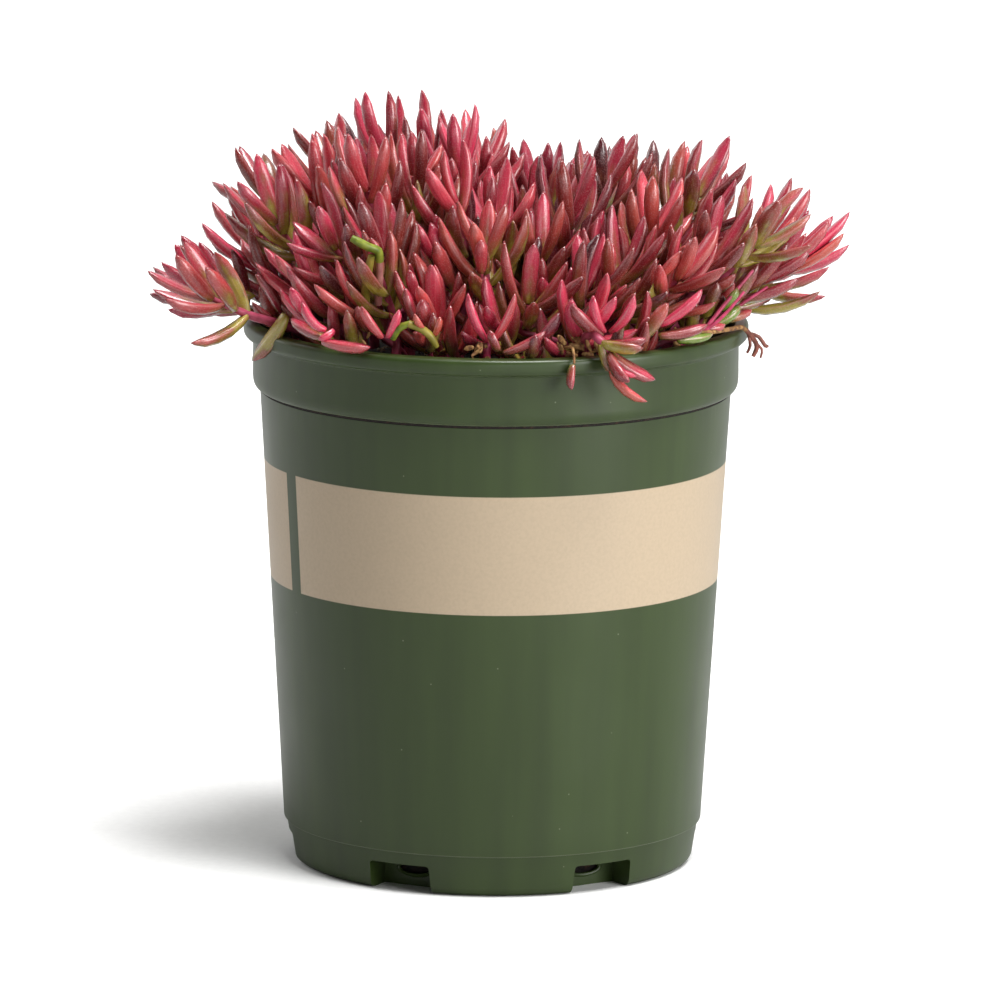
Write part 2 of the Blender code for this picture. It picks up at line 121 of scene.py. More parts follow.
# Drain pockets round the foot, each with an oval hole and its raised rim in the back wall
POCKET_COUNT = 6
POCKET_FIRST_DEG = -57.0
POCKET_WIDTH = 21.4 * MM
POCKET_FLARE = 1.06
POCKET_HEIGHT = 9.5 * MM
POCKET_BACK = 55.0 * MM
POCKET_CORNER = 1.2 * MM
POCKET_CUT_BELOW = 10.0 * MM
DRAIN_WIDTH = 12.0 * MM
DRAIN_HEIGHT = 4.4 * MM
DRAIN_CENTRE_Z = 5.6 * MM
DRAIN_CUT = 8.0 * MM
DRAIN_SIDES = 40
DRAIN_RIM = 0.7 * MM
RIM_SIDES = 8

# The soil: free of the pot by this gap, a little higher in its middle, rounded off at its edge, with
# lumps in two sizes down to one depth and crumbs down to another
GAP = 0.3 * MM
SOIL_TOP = 167.0 * MM
SOIL_CROWN = 2.0 * MM
ROOT_DEPTH = 14.0 * MM
SOIL_SIDES = 120
SOIL_STEP = 2.0 * MM
SOIL_SHOULDER = 0.985
LUMP_DEPTH = 1.0 * MM
CRUMB_DEPTH = 1.5 * MM
LUMP_HEIGHT = 1.6 * MM
LUMP_WIDTH = 9.0 * MM
CLOD_WIDTH = 3.0 * MM

# The planting, as in the solids: shoots on a sunflower spiral, which grow into one low mat
SEED = 40
SHOOT_COUNT = 49
ROOT_CIRCLE = 66.0 * MM
ROOT_SCATTER = 1.0 * MM
FRONT_SQUEEZE = 0.96
GOLDEN_ANGLE = math.radians(137.508)
STEM_RADIUS = 1.7 * MM
STEM_COLLAR = 1.5 * MM
STEM_TAPER = [1.0, 1.0, 1.0, 0.92, 0.85, 0.5]
STEM_RISE_SHARE = 0.45
STEM_LEAN_SHARE = 0.35
STEM_BEND_AT = (0.35, 0.7)
TUFT_LENGTH = 31.0 * MM
NODE_SPACING = 4.4 * MM

# Leaf pairs of a tuft from the oldest up: length, opening from the stem in degrees, bend
LONGEST_LEAF = 26.0 * MM
TUFT_PAIRS = [
    (24.0 * MM, 62.0, 0.48), (LONGEST_LEAF, 50.0, 0.38), (25.0 * MM, 37.0, 0.27), (22.0 * MM, 24.0, 0.15),
    (16.0 * MM, 10.0, 0.04),
]
# How leaves turn up to the light, differ by chance, and give way where there is no room for them
SKYWARD = 1.0
SHORTEST_LIFT = 0.2
OPENING_CHANCE_DEG = 4.0
TURN_CHANCE_DEG = 9.0
GIVE_WAY = 0.65
SHORTEN = 0.035
LENGTH_CHANCE = (0.9, 1.08)
WIDTH_CHANCE = (0.88, 1.08)
BEND_CHANCE = (0.4, 1.5)
# A leaf's plan: its widest place, how it narrows from there to root and tip, how much of it may touch
# its own stem, how deep its root is sunk, and how much of its width a short leaf loses
LEAF_HALF_WIDTH = 3.0 * MM
LEAF_BELLY = 0.5
LEAF_BLUNTNESS = 2.2
LEAF_ROOT_SHARE = 0.42
LEAF_ROOT_FREE = 0.36
LEAF_SINK = 0.4 * MM
SLIMMING = 0.25

# Heights of the leaf tips over the lip, from the left of the mat to its right, in millimetres
CREST = [
    (-112, 22), (-96, 36), (-84, 50), (-66, 59), (-48, 66), (-36, 70), (-24, 60), (-10, 67),
    (0, 62), (5, 42), (14, 50), (34, 58), (52, 55), (62, 51), (80, 55), (98, 53), (112, 44),
]
# Share of that height from the front of the mat to its back, in millimetres
DEPTH_SHARE = [(-88, 0.25), (-70, 0.44), (-45, 0.70), (-22, 0.94), (8, 1.0), (50, 0.95), (88, 0.55)]
# How far the mat reaches beyond the roots on each side, and how its edge shoots lean, in degrees
REACH = {"left": 1.93, "right": 1.92, "front": 1.32, "back": 1.50}
LEAN = {"left": 54.0, "right": 48.0, "front": 34.0, "back": 44.0}
LOW_FROM = 0.74
LOW_LEAN_DEG = 17.0
LOW_HEIGHT = 0.60
HIGH_REACH = 0.86
LEAN_POWER = 1.5
TIP_CHANCE = (-4.0 * MM, 3.0 * MM)
TILT_CHANCE = 0.12
LOWEST_HEAD = POT_HEIGHT - 4.0 * MM

# One sprig at the front has tipped over the lip and hangs there
TRAILING_ROOT = Vector((27.0, -59.0, 0.0)) * MM
TRAILING_HEAD = Vector((34.0, -79.0, 184.5)) * MM
TRAILING_AXIS = Vector((0.60, -0.06, -0.79)).normalized()
TRAILING_PAIRS = [(14.0 * MM, 44.0, 0.05), (18.0 * MM, 24.0, 0.0), (15.0 * MM, 9.0, 0.0)]
TRAILING_TUFT = 9.0 * MM
TRAILING_HOOK = 0.24
TRAILING_TINTS = {1.0: "husk", 0.5: "dusk", 0.0: "coral"}

# Clearance between plant pieces, tested with balls of the piece's own thickness
CLEARANCE = 0.5 * MM
BALLS_PER_LEAF = 11
BALL_SHARE = 0.92
THINNEST_BALL = 0.15
BALL_STEP = 2.0 * MM
LEAF_TRIES = 18
STEM_TRIES = 12
STEM_LIFT = 1.0 * MM
CELL = 8.0 * MM

# The side shoots that the solids leave out, in a clump about each main shoot: how many, and how many
# at the mat's edge, how far from its axis and how far below its tips, how they tilt away, and their
# size and how closed they are
Layer = namedtuple("Layer", "count edge_count away drop tilt_deg size opening")
CLUMP_LAYERS = [
    Layer(2, 1, (9.0 * MM, 13.0 * MM), (3.0 * MM, 12.0 * MM), (4.0, 22.0), (0.88, 1.04), 0.74),
    Layer(1, 0, (9.0 * MM, 15.0 * MM), (10.0 * MM, 20.0 * MM), (8.0, 30.0), (0.84, 1.0), 0.80),
    Layer(2, 0, (6.0 * MM, 15.0 * MM), (18.0 * MM, 32.0 * MM), (10.0, 36.0), (0.66, 0.86), 0.86),
]
# A shoot whose tips reach beyond this is at the mat's open edge
OPEN_EDGE = 90.0 * MM
# How far the side shoots' leaves stay below the tips of the main ones, and how far above those a
# side shoot may be aimed
FILL_BELOW = 3.0 * MM
FILL_ABOVE = 1.0 * MM
# Short shoots that stand close inside the lip, all the way round
RIM_COUNT = 30
RIM_CIRCLE = (60.0 * MM, 71.0 * MM)
RIM_TIP = (8.0 * MM, 17.0 * MM)
RIM_LEAN_DEG = {"left": 56.0, "right": 52.0, "front": 26.0, "back": 40.0}
RIM_LEAN_CHANCE = (0.5, 1.1)
RIM_TILT = 0.3
RIM_SHIFT = 0.4
RIM_SIZE = (0.60, 0.84)
RIM_OPENING = 0.85
RIM_ROOT_DEPTH = 2.0 * MM
# How far side shoots turn up to the light, how steeply down one may set off before it is moved to
# the other side, and the least share of its drop on a shoot that lies over
SKY_PULL = 0.22
STEEPEST_OUT = -0.2
LEAST_DROP = 0.3
# The seed, the clearances and the tries of this foliage, whose leaves may touch; its thin stems; and
# how low and how far out its leaves and stems may stand
FILL_SEED = 7
FILL_CLEARANCE = -0.6 * MM
FILL_BALLS = 6
FILL_TRIES = 7
FILL_POT_CLEARANCE = 0.2 * MM
BRANCH_RADIUS = 1.1 * MM
BRANCH_TAPER = (1.0, 0.95, 0.85, 0.5)
BRANCH_BOW = 0.12
BRANCH_RISE = 4.0 * MM
SHORTEST_END = 1.0 * MM
LOWEST_TUFT = SOIL_TOP + 3.0 * MM
LOWEST_OUTSIDE = POT_HEIGHT + 4.0 * MM
OVER_LIP = BAND_RADIUS - 10.0 * MM
# A leaf as drawn: its width against the planned one, and its fuller root and blunter tip
SLENDER = (0.86, 1.03)
ROOT_FULLNESS = 0.58
TIP_BLUNTNESS = 4.0
OUTLINE_STEPS = 14

# How the leaves differ in colour from clump to clump, from shoot to shoot and from leaf to leaf
TONE_RANGE = (0.22, 0.90)
TONE_CHANCE = 0.24
WINE_SHARE = 0.11
WINE_TONE = (0.06, 0.26)
WINE_AGE = 0.05
WINE_WARMTH = -0.2
OLIVE_SHARE = 0.26
OLIVE_TONE = (0.35, 0.7)
OLIVE_AGE = (0.25, 0.6)
OLIVE_WARMTH = 0.25
RED_AGE = (-0.15, 0.2)
AGE_CHANCE = (0.4, 1.0)
YOUNG_PINK = 0.22
YOUNG_WARMTH = -0.3
WARM_RANGE = (0.05, 0.80)
WARM_CHANCE = 0.28
SWAY = 0.07

# Tints by name: tone from dark to fresh, age from red to olive, warm from pinkish to brownish
TINTS = {
    "olive": {"tone": 0.45, "age": 1.25, "warm": 0.8},
    "mauve": {"tone": 0.40, "age": 0.55, "warm": 0.5},
    "husk": {"tone": 0.36, "age": 1.05, "warm": 0.9},
    "tan": {"tone": 0.55, "age": 0.95, "warm": 0.9},
    "dusk": {"tone": 0.38, "age": 0.45, "warm": 0.4},
    "rose": {"tone": 0.72, "age": -0.2, "warm": 0.5},
    "pink": {"tone": 0.98, "age": -0.9, "warm": -0.1},
    "coral": {"tone": 0.92, "age": -0.1, "warm": 1.0},
    "lime": {"tone": 0.70, "age": 0.6, "warm": 0.9, "green": 0.45},
    "green": {"tone": 0.60, "age": 0.8, "warm": 0.8, "green": 1.0},
}
# Single leaves about the lip and at the mat's two ends: root and tip in millimetres, width in
# millimetres, bend, the side that it bends to, and tint
ODD_LEAVES = [
    ((79, -2, 205), (83, 0, 227), 5.4, 0.06, (1, 0, 0), "rose"),
    ((82, -6, 204), (89, -6, 225), 5.6, 0.08, (0, 0, 1), "pink"),
    ((80, -10, 202), (86, -12, 219), 5.6, 0.10, (0, 0, 1), "tan"),
    ((84, -2, 204), (96, 2, 226), 5.4, 0.10, (0, 0, 1), "dusk"),
    ((86, -4, 202), (102, -2, 223), 5.6, 0.12, (0, 0, 1), "rose"),
    ((84, -8, 201), (97, -10, 215), 5.6, 0.12, (0, 0, 1), "coral"),
    ((-77, -2, 199), (-93, 0, 217), 5.4, 0.10, (0, 0, 1), "rose"),
    ((-75, 0, 201), (-88, 2, 221), 5.0, 0.08, (0, 0, 1), "dusk"),
    ((-78, -8, 196), (-96, -8, 211), 5.4, 0.12, (0, 0, 1), "pink"),
    ((-84, -16, 186), (-112, -8, 196.5), 6.0, 0.34, (0, 0, 1), "dusk"),
    ((-82, -12, 187), (-109.5, -2, 197), 5.0, 0.22, (0, 0, 1), "rose"),
    ((-78, -20, 189), (-103, -14, 205), 5.6, 0.36, (0.2, 0, 1), "tan"),
    ((-80, -24, 186), (-98, -22, 190), 5.6, 0.14, (0, 0, 1), "olive"),
    ((92, -6, 199), (115, -2, 215.5), 5.4, 0.30, (0, 0, 1), "pink"),
    ((90, -10, 198), (108, -12, 214), 5.4, 0.26, (0, 0, 1), "rose"),
    ((94, -4, 196), (113, -6, 209), 5.0, 0.22, (0, 0, 1), "coral"),
    ((-68, -44, 187), (-79, -34, 170), 6.2, 0.22, (-1, -0.6, 0.2), "olive"),
    ((-71, -22, 182), (-86, -8, 184.5), 5.6, 0.10, (0, 0, 1), "tan"),
    ((-55, -64, 183), (-66, -50, 187), 5.2, 0.12, (0, 0, 1), "dusk"),
    ((-56, -66, 182.5), (-40, -73, 181.5), 5.4, 0.10, (0, 0, 1), "rose"),
    ((-54, -66, 186), (-62, -66, 195), 4.6, 0.75, (0.1, 0, 1), "pink"),
    ((-52, -66, 186), (-57, -68, 183), 3.4, 0.30, (-1, 0, 0), "pink"),
    ((-46, -34, 216), (-54, -41, 235), 4.4, 0.16, (-0.3, -0.4, 1), "lime"),
    ((-36, -70, 184), (-43, -74, 195), 4.4, 0.10, (0.3, 0, 1), "rose"),
    ((-35, -70, 184), (-31, -74, 194), 4.0, 0.12, (-0.3, 0, 1), "pink"),
    ((-22, -71, 186), (-26, -76, 193), 3.2, 0.20, (0.5, 0, 1), "coral"),
    ((-20, -71, 185), (-18, -76, 192), 3.0, 0.20, (-0.5, 0, 1), "coral"),
    ((-2, -72, 183), (-9, -77, 200), 4.4, 0.20, (1, 0, 0.6), "pink"),
    ((-2, -72, 183), (6, -77, 200), 4.4, 0.20, (-1, 0, 0.6), "rose"),
    ((2, -76, 180.5), (16, -78, 188), 4.8, 0.12, (0, 0, 1), "dusk"),
    ((1, -75, 181), (-2, -77, 188), 4.0, 0.05, (0, 0, 1), "dusk"),
    ((34, -72, 186), (24, -80, 197), 6.4, 0.10, (0.4, 0, 1), "dusk"),
    ((36, -73, 187), (44, -80, 200), 4.8, 0.30, (-0.7, 0, 1), "pink"),
    ((35, -73, 187), (31, -80, 200), 4.6, 0.30, (0.7, 0, 1), "pink"),
    ((35, -74, 184), (48, -79, 186), 5.6, 0.16, (0, 0, 1), "dusk"),
    ((48, -64, 184), (55, -70, 196), 4.6, 0.22, (0.8, 0, 1), "lime"),
    ((52, -60, 184), (68, -56, 187), 5.4, 0.14, (0, 0, 1), "dusk"),
    ((52, -59, 187), (66, -60, 199), 5.2, 0.16, (-0.4, 0, 1), "pink"),
    ((58, -54, 181.5), (70, -47, 182.5), 4.6, 0.08, (0, 0, 1), "green"),
    ((70, -34, 183), (79, -30, 189), 5.4, 0.10, (0, 0, 1), "green"),
    ((73, -28, 184), (83, -20, 186), 5.0, 0.10, (0, 0, 1), "lime"),
    ((72, -30, 187), (78, -32, 195), 4.2, 0.10, (0, 0, 1), "green"),
    ((66, -42, 183), (74, -38, 184), 4.4, 0.10, (0, 0, 1), "rose"),
    ((25, -81, 177.8), (24.3, -82.6, 169.6), 4.2, 0.06, (1, 0, 0), "mauve"),
    ((37, -82, 177), (48.5, -85, 166.5), 4.6, 0.62, (0.7, 0, 1), "coral"),
    ((38, -81, 178), (45, -84, 174.5), 3.0, 0.20, (0, 0, 1), "pink"),
]
# Bare stems: their bends and width in millimetres, and their kind; and what the width is divided by
# to give the radius of a stem and of its end
TWIG_DIVISORS = (2.0, 2.6)
TWIGS = [
    ([(-37.5, -58, 207), (-38, -60, 210.5), (-41, -61.5, 212), (-44, -62, 213.6), (-46.5, -62, 215)],
     2.9, "green"),
    ([(-42, -52, 192), (-41.5, -57, 201), (-40, -60, 209)], 3.0, "lime"),
    ([(-38, -52, 192), (-37.5, -56, 201), (-37.5, -58, 208)], 2.6, "dusk"),
    ([(-33, -70, 184), (-31, -72.5, 187.5), (-27.5, -73.4, 189.3)], 2.5, "green"),
    ([(-28, -73.3, 189.1), (-24, -73.4, 187.6), (-20.8, -73, 185), (-19, -72, 181.5)], 2.6, "lime"),
    ([(-2, -70, 172), (-3, -72, 179), (-2, -72, 184)], 2.6, "pink"),
    ([(64, -40, 178), (74, -34, 190), (83, -28, 200)], 1.3, "pink"),
    ([(66, -30, 178), (77, -22, 186), (88, -18, 193)], 1.2, "pink"),
    ([(60, -46, 178), (72, -42, 186), (80, -40, 195)], 1.2, "pink"),
    ([(64, -49, 182.5), (71, -41, 182), (76, -33, 181.5), (80, -24, 180.5), (83, -19, 176.5)], 1.5, "dry"),
    ([(81, -22, 179.5), (83.6, -19, 176), (84.8, -18, 173), (83.6, -18, 170)], 1.7, "husk"),
    ([(82, -20, 178), (85.4, -18, 176.5), (87.6, -18, 173.5), (88.4, -18, 173.8)], 1.3, "husk"),
    ([(82, -20, 177.5), (82.6, -20, 174), (81.6, -20, 171.5)], 1.1, "husk"),
    ([(83.4, -19, 175.5), (86.4, -18, 172.5), (86.0, -18, 169.5)], 0.9, "husk"),
    ([(22, -74, 182), (24.5, -78.5, 182.5), (25.0, -81, 178)], 1.0, "dry"),
]
STEM_HUES = {
    "green": ("#4A5C12", "#8A9234"), "lime": ("#6E6A22", "#958538"), "pink": ("#8E2440", "#CC4E74"),
    "dusk": ("#8A5450", "#B87C76"), "husk": ("#4A2016", "#96584A"),
}
# Dried scraps that lie along the inside of the lip: the angles from the front that they gather at,
# in degrees, and how many there
SCRAP_SEED = 3
SCRAPS = [(-4.0, 12), (18.0, 10), (24.0, 14), (50.0, 5), (60.0, 9), (-35.0, 4)]
SCRAP_SPREAD = 3.5
SCRAP_RADIUS = (73.5 * MM, 77.0 * MM)
SCRAP_HEIGHT = (176.0 * MM, 183.0 * MM)
SCRAP_WIDTH = (0.8 * MM, 2.1 * MM)
SCRAP_LENGTH = (2.0 * MM, 6.0 * MM)
SCRAP_BEND = (0.2, 0.9)

Leaf = namedtuple("Leaf", "root along lift length half_width bend age")
Stem = namedtuple("Stem", "points radii")
Ball = namedtuple("Ball", "centre radius owner near_root")
Shoot = namedtuple("Shoot", "root axis head stem leaves")


# Settings that a user would change

def linear(code):
    """The linear red, green and blue of an sRGB hex colour."""
    parts = [int(code[i:i + 2], 16) / 255.0 for i in (1, 3, 5)]
    return tuple(c / 12.92 if c <= 0.04045 else ((c + 0.055) / 1.055) ** 2.4 for c in parts)


def colour_property(name, description, code):
    return FloatVectorProperty(
        name=name, description=description, subtype="COLOR", size=3, min=0.0, max=1.0, default=linear(code)
    )


def length_property(name, description, default):
    return FloatProperty(name=name, description=description, default=default, unit="LENGTH")


def angle_property(name, description, degrees):
    return FloatProperty(
        name=name, description=description, default=math.radians(degrees), subtype="ANGLE", unit="ROTATION"
    )


def light_property(name, description, default):
    return FloatProperty(name=name, description=description, default=default, min=0.0)


class PotSettings(bpy.types.PropertyGroup):
    """The pot's fineness, its wall, its printed band and its colours."""

    sides: IntProperty(name="Sides", description="Steps of the turned wall", default=192, min=24, max=720)
    wall: length_property("Wall", "Thickness of the moulded wall", WALL)
    band_low: length_property("Band low", "Height of the printed band's lower edge", 94.3 * MM)
    band_high: length_property("Band high", "Height of its upper edge", 133.3 * MM)
    seam: angle_property("Seam", "Where the print's two ends leave the plastic bare", -60.9)
    seam_width: angle_property("Seam width", "Width of that bare strip", 4.7)
    green: colour_property("Green", "Colour of the outside plastic", "#31401B")
    black: colour_property("Black", "Colour of the inside plastic", "#121311")
    cream: colour_property("Cream", "Colour of the printed band", "#BAA78D")


class FoliageSettings(bpy.types.PropertyGroup):
    """The fineness of leaves and stems, and the colours that they are mixed from."""

    leaf_sides: IntProperty(name="Leaf sides", description="Sides round a leaf", default=8, min=4, max=16)
    leaf_rings: IntProperty(name="Leaf rings", description="Rings along a leaf", default=7, min=4, max=24)
    flatness: FloatProperty(
        name="Flatness", description="A leaf's depth against its width", default=0.68, min=0.2, max=1.2
    )
    keel: FloatProperty(
        name="Keel", description="How much deeper its underside is than its top", default=0.46, min=0.0,
        max=0.6,
    )
    stem_sides: IntProperty(name="Stem sides", description="Sides round a stem", default=7, min=3, max=24)
    wine: colour_property("Wine", "The darkest leaves", "#4E1A26")
    burgundy: colour_property("Burgundy", "Dark pinkish leaves", "#861A30")
    crimson: colour_property("Crimson", "Bright pinkish leaves", "#B52E49")
    pink: colour_property("Pink", "The freshest pinkish leaves", "#D03858")
    russet: colour_property("Russet", "Dark brownish leaves", "#863124")
    rose: colour_property("Rose", "Bright brownish leaves", "#AC483C")
    coral: colour_property("Coral", "The freshest brownish leaves", "#CA5646")
    olive: colour_property("Olive", "The lower half of old leaves", "#7C6430")
    green: colour_property("Leaf green", "Shaded and young green leaves", "#6C8428")


class SoilSettings(bpy.types.PropertyGroup):
    """The soil's surface and the crumbs on it."""

    crumb_density: FloatProperty(
        name="Crumbs", description="Crumbs on a square metre of soil", default=90000.0, min=0.0
    )
    crumb_size: length_property("Crumb size", "Half width of the largest crumbs", 1.7 * MM)
    seed: IntProperty(name="Seed", description="Where the crumbs fall", default=5)
    earth: colour_property("Earth", "Colour of the damp peat", "#1E140D")
    bark: colour_property("Bark", "Colour of the bark crumbs", "#4A2E1A")
    dry: colour_property("Dry", "Colour of dead leaves and straw", "#B08A55")


class StageSettings(bpy.types.PropertyGroup):
    """The camera and the studio light."""

    distance: length_property("Distance", "From the camera to the pot", 3.333)
    elevation: angle_property("Elevation", "How far the camera looks down", 11.01)
    lens: length_property("Lens", "Focal length on a 36 mm sensor", 0.3655)
    key: light_property("Key light", "Power of the soft box at the right", 34.0)
    front: light_property("Front light", "Power of the low box under the camera", 2.5)
    rim: light_property("Rim light", "Power of the soft box behind on the left", 6.0)
    sky: light_property("Top light", "Strength of the light from above", 3.95)


# Small helpers

def node(tree, kind, inputs=None, **settings):
    """Add a node with its settings. Each input is given a value, another node's output, or another
    node, which stands for the first of its outputs that is in use.
    """
    made = tree.nodes.new(kind)
    for name, value in settings.items():
        setattr(made, name, value)
    for name, value in (inputs or {}).items():
        if isinstance(value, bpy.types.Node):
            value = next(socket for socket in value.outputs if socket.enabled)
        if isinstance(value, bpy.types.NodeSocket):
            tree.links.new(value, made.inputs[name])
        else:
            made.inputs[name].default_value = value
    return made


def maths(tree, operation, *values):
    """A maths node on these values."""
    return node(tree, "ShaderNodeMath", dict(enumerate(values)), operation=operation)


def vector_maths(tree, operation, *values):
    """A vector maths node on these vectors, or on a vector and its scale."""
    names = (0, "Scale" if operation == "SCALE" else 1)
    return node(tree, "ShaderNodeVectorMath", dict(zip(names, values)), operation=operation)


def remapped(tree, value, start=(0.0, 1.0), end=(0.0, 1.0)):
    """A value stretched from one range to another, and held within it."""
    ends = {"From Min": start[0], "From Max": start[1], "To Min": end[0], "To Max": end[1]}
    return node(tree, "ShaderNodeMapRange", {"Value": value, **ends})


def noise_at(tree, place, width, detail=2.0):
    """A noise texture with blotches of this width."""
    return node(tree, "ShaderNodeTexNoise", {"Vector": place, "Scale": 1.0 / width, "Detail": detail})


def ramp(tree, value, stops):
    """A colour ramp with these stops, each a position and its red, green and blue."""
    made = node(tree, "ShaderNodeValToRGB", {"Fac": value})
    elements = made.color_ramp.elements
    for i, (position, colour) in enumerate(stops):
        element = elements[i] if i < 2 else elements.new(position)
        element.position = position
        element.color = (*colour, 1.0)
    return made


def mixed(tree, share, first, second):
    """A mix of two colours, each given as a node or as its red, green and blue."""
    first, second = (
        colour if isinstance(colour, bpy.types.Node) else (*colour, 1.0) for colour in (first, second)
    )
    return node(tree, "ShaderNodeMix", {0: share, 6: first, 7: second}, data_type="RGBA")


def link_object(name, mesh):
    """A new object of a mesh, in the scene, at the origin."""
    obj = bpy.data.objects.new(name, mesh)
    bpy.context.scene.collection.objects.link(obj)
    return obj


def finished_mesh(obj):
    """The object's mesh with its modifiers applied, as a plain mesh."""
    depsgraph = bpy.context.evaluated_depsgraph_get()
    mesh = bpy.data.meshes.new_from_object(obj.evaluated_get(depsgraph))
    obj.modifiers.clear()
    obj.data = mesh
    return mesh


def run_tree(obj, tree, values):
    """Run a node tree on an object with these named inputs, and keep the result as its plain mesh."""
    modifier = obj.modifiers.new(tree.name, "NODES")
    modifier.node_group = tree
    for item in tree.interface.items_tree:
        if item.item_type == "SOCKET" and item.in_out == "INPUT" and item.name in values:
            modifier[item.identifier] = values[item.name]
    mesh = finished_mesh(obj)
    if not mesh.polygons:
        raise RuntimeError(f"{obj.name} came out with no faces")
    return mesh


def place(obj, slot, *nodes):
    """Make a finished object ride with the pot and stand for these frame nodes; its slot is not used."""
    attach(obj, "root")
    if nodes:
        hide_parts(*nodes)


def between(pairs, x):
    """The value at x on the straight lines through the pairs."""
    if x <= pairs[0][0]:
        return pairs[0][1]
    for (x0, y0), (x1, y1) in zip(pairs, pairs[1:]):
        if x <= x1:
            return y0 + (y1 - y0) * (x - x0) / (x1 - x0)
    return pairs[-1][1]


# Materials

def new_material(name):
    """A material with no nodes yet, and its tree."""
    material = bpy.data.materials.new(name)
    material.use_nodes = True
    material.node_tree.nodes.clear()
    return material, material.node_tree


def surfaced(material, finish):
    """The material with these shader inputs as its surface."""
    tree = material.node_tree
    shader = node(tree, "ShaderNodeBsdfPrincipled", finish)
    node(tree, "ShaderNodeOutputMaterial", {"Surface": shader})
    return material


def green_polypropylene(pot):
    """Injection-moulded polypropylene with a flexo-printed band.

    The mould's fine satin grain gives broad soft reflections, the flow of the plastic faint upright
    streaks, and handling a few pale specks; thin pale lines at the foot and under the band and the lip are
    a painted highlight on those rounded edges. The ink is thin, flat and a little less glossy.
    """
    material, tree = new_material("green_moulded_polypropylene")
    here = node(tree, "ShaderNodeTexCoord").outputs["Object"]
    axes = node(tree, "ShaderNodeSeparateXYZ", {"Vector": here})
    edge = 0.12 * MM
    above = remapped(tree, axes.outputs["Z"], (pot.band_low - edge, pot.band_low + edge))
    below = remapped(tree, axes.outputs["Z"], (pot.band_high + edge, pot.band_high - edge))
    back = maths(tree, "MULTIPLY", axes.outputs["Y"], -1.0)
    angle = maths(tree, "ARCTAN2", axes.outputs["X"], back)
    off = maths(tree, "SUBTRACT", angle, pot.seam)
    away = maths(tree, "ABSOLUTE", off)
    half = pot.seam_width / 2.0
    outside = remapped(tree, away, (half - 0.002, half + 0.002))
    in_band = maths(tree, "MULTIPLY", above, below)
    ink = maths(tree, "MULTIPLY", in_band, outside)

    streaks_at = vector_maths(tree, "MULTIPLY", here, (1.0, 1.0, 0.06))
    streaks = noise_at(tree, streaks_at, 11.0 * MM, 3.0)
    clouds = noise_at(tree, here, 26.0 * MM)
    mottle = noise_at(tree, here, 1.1 * MM, 3.0)
    specks = node(tree, "ShaderNodeTexVoronoi", {"Vector": here, "Scale": 1.0 / (9.0 * MM)})
    speck = remapped(tree, specks.outputs["Distance"], (0.035, 0.02), (0.0, 0.5))
    pale = speck
    # Painted highlight: thin pale lines where the body meets the foot and under the band and the lip stand
    # in for light caught on those rounded edges
    for edge_height in (BODY_BOTTOM, BAND_BOTTOM + 0.6 * MM, LIP_UNDERSIDE + 0.3 * MM):
        off_edge = maths(tree, "SUBTRACT", axes.outputs["Z"], edge_height)
        near = maths(tree, "ABSOLUTE", off_edge)
        painted_edge_highlight = remapped(tree, near, (0.35 * MM, 0.1 * MM), (0.0, EDGE_HIGHLIGHT_SHARE))
        pale = maths(tree, "MAXIMUM", pale, painted_edge_highlight)
    dark = tuple(c * 0.86 for c in pot.green)
    light = tuple(c * 1.16 for c in pot.green)
    plastic = ramp(tree, streaks, [(0.32, dark), (0.70, light)])
    # The plastic, paler at the specks and along the painted edge highlights
    specks_and_edge_highlights = mixed(tree, pale, plastic, linear("#8C9478"))
    paler = tuple(min(c * 1.02, 1.0) for c in pot.cream)
    darker = tuple(c * 0.95 for c in pot.cream)
    print_colour = ramp(tree, mottle, [(0.30, darker), (0.62, paler)])
    colour = mixed(tree, ink, specks_and_edge_highlights, print_colour)
    worn = remapped(tree, clouds, (0.3, 0.7), (0.31, 0.38))
    matt = maths(tree, "MULTIPLY_ADD", ink, 0.08, worn)
    grain = noise_at(tree, here, 0.45 * MM)
    thick = maths(tree, "MULTIPLY_ADD", ink, 2.0, grain)
    bump = node(tree, "ShaderNodeBump", {"Height": thick, "Strength": 0.35, "Distance": 0.02 * MM})
    return surfaced(material, {"Base Color": colour, "Roughness": matt, "IOR": 1.49, "Normal": bump})


def black_polypropylene(pot):
    """The inner layer of the moulding: carbon-black polypropylene, dusted with peat near the soil."""
    material, tree = new_material("black_moulded_polypropylene")
    here = node(tree, "ShaderNodeTexCoord").outputs["Object"]
    dust = noise_at(tree, here, 4.0 * MM, 5.0)
    colour = ramp(tree, dust, [(0.40, pot.black), (0.78, linear("#2B241C"))])
    rough = remapped(tree, dust, (0.0, 1.0), (0.34, 0.60))
    return surfaced(material, {"Base Color": colour, "Roughness": rough, "IOR": 1.49})


def blotched(name, width, detail, stops, relief, finish):
    """A dull natural skin: blotches of this width in these colours, each a little raised."""
    material, tree = new_material(name)
    here = node(tree, "ShaderNodeTexCoord").outputs["Object"]
    blotch = noise_at(tree, here, width, detail)
    colour = ramp(tree, blotch, stops)
    strength, depth = relief
    bump = node(tree, "ShaderNodeBump", {"Height": blotch, "Strength": strength, "Distance": depth})
    return surfaced(material, {"Base Color": colour, "Normal": bump, **finish})


def damp_peat(soil):
    """Sieved peat compost, damp: near black and crumbly, its drier crumbs brown."""
    stops = [(0.36, linear("#0D0805")), (0.58, soil.earth), (0.80, soil.bark)]
    return blotched("damp_peat_compost", 2.2 * MM, 6.0, stops, (0.9, 0.8 * MM), {"Roughness": 0.86})


def dry_leaf(soil):
    """Dead leaf and straw: papery, tan to brown, creased, with no shine."""
    stops = [(0.30, linear("#4E2E1C")), (0.50, linear("#8C6238")), (0.66, soil.dry)]
    return blotched("dried_plant_litter", 1.6 * MM, 4.0, stops, (0.7, 0.4 * MM), {"Roughness": 0.7})


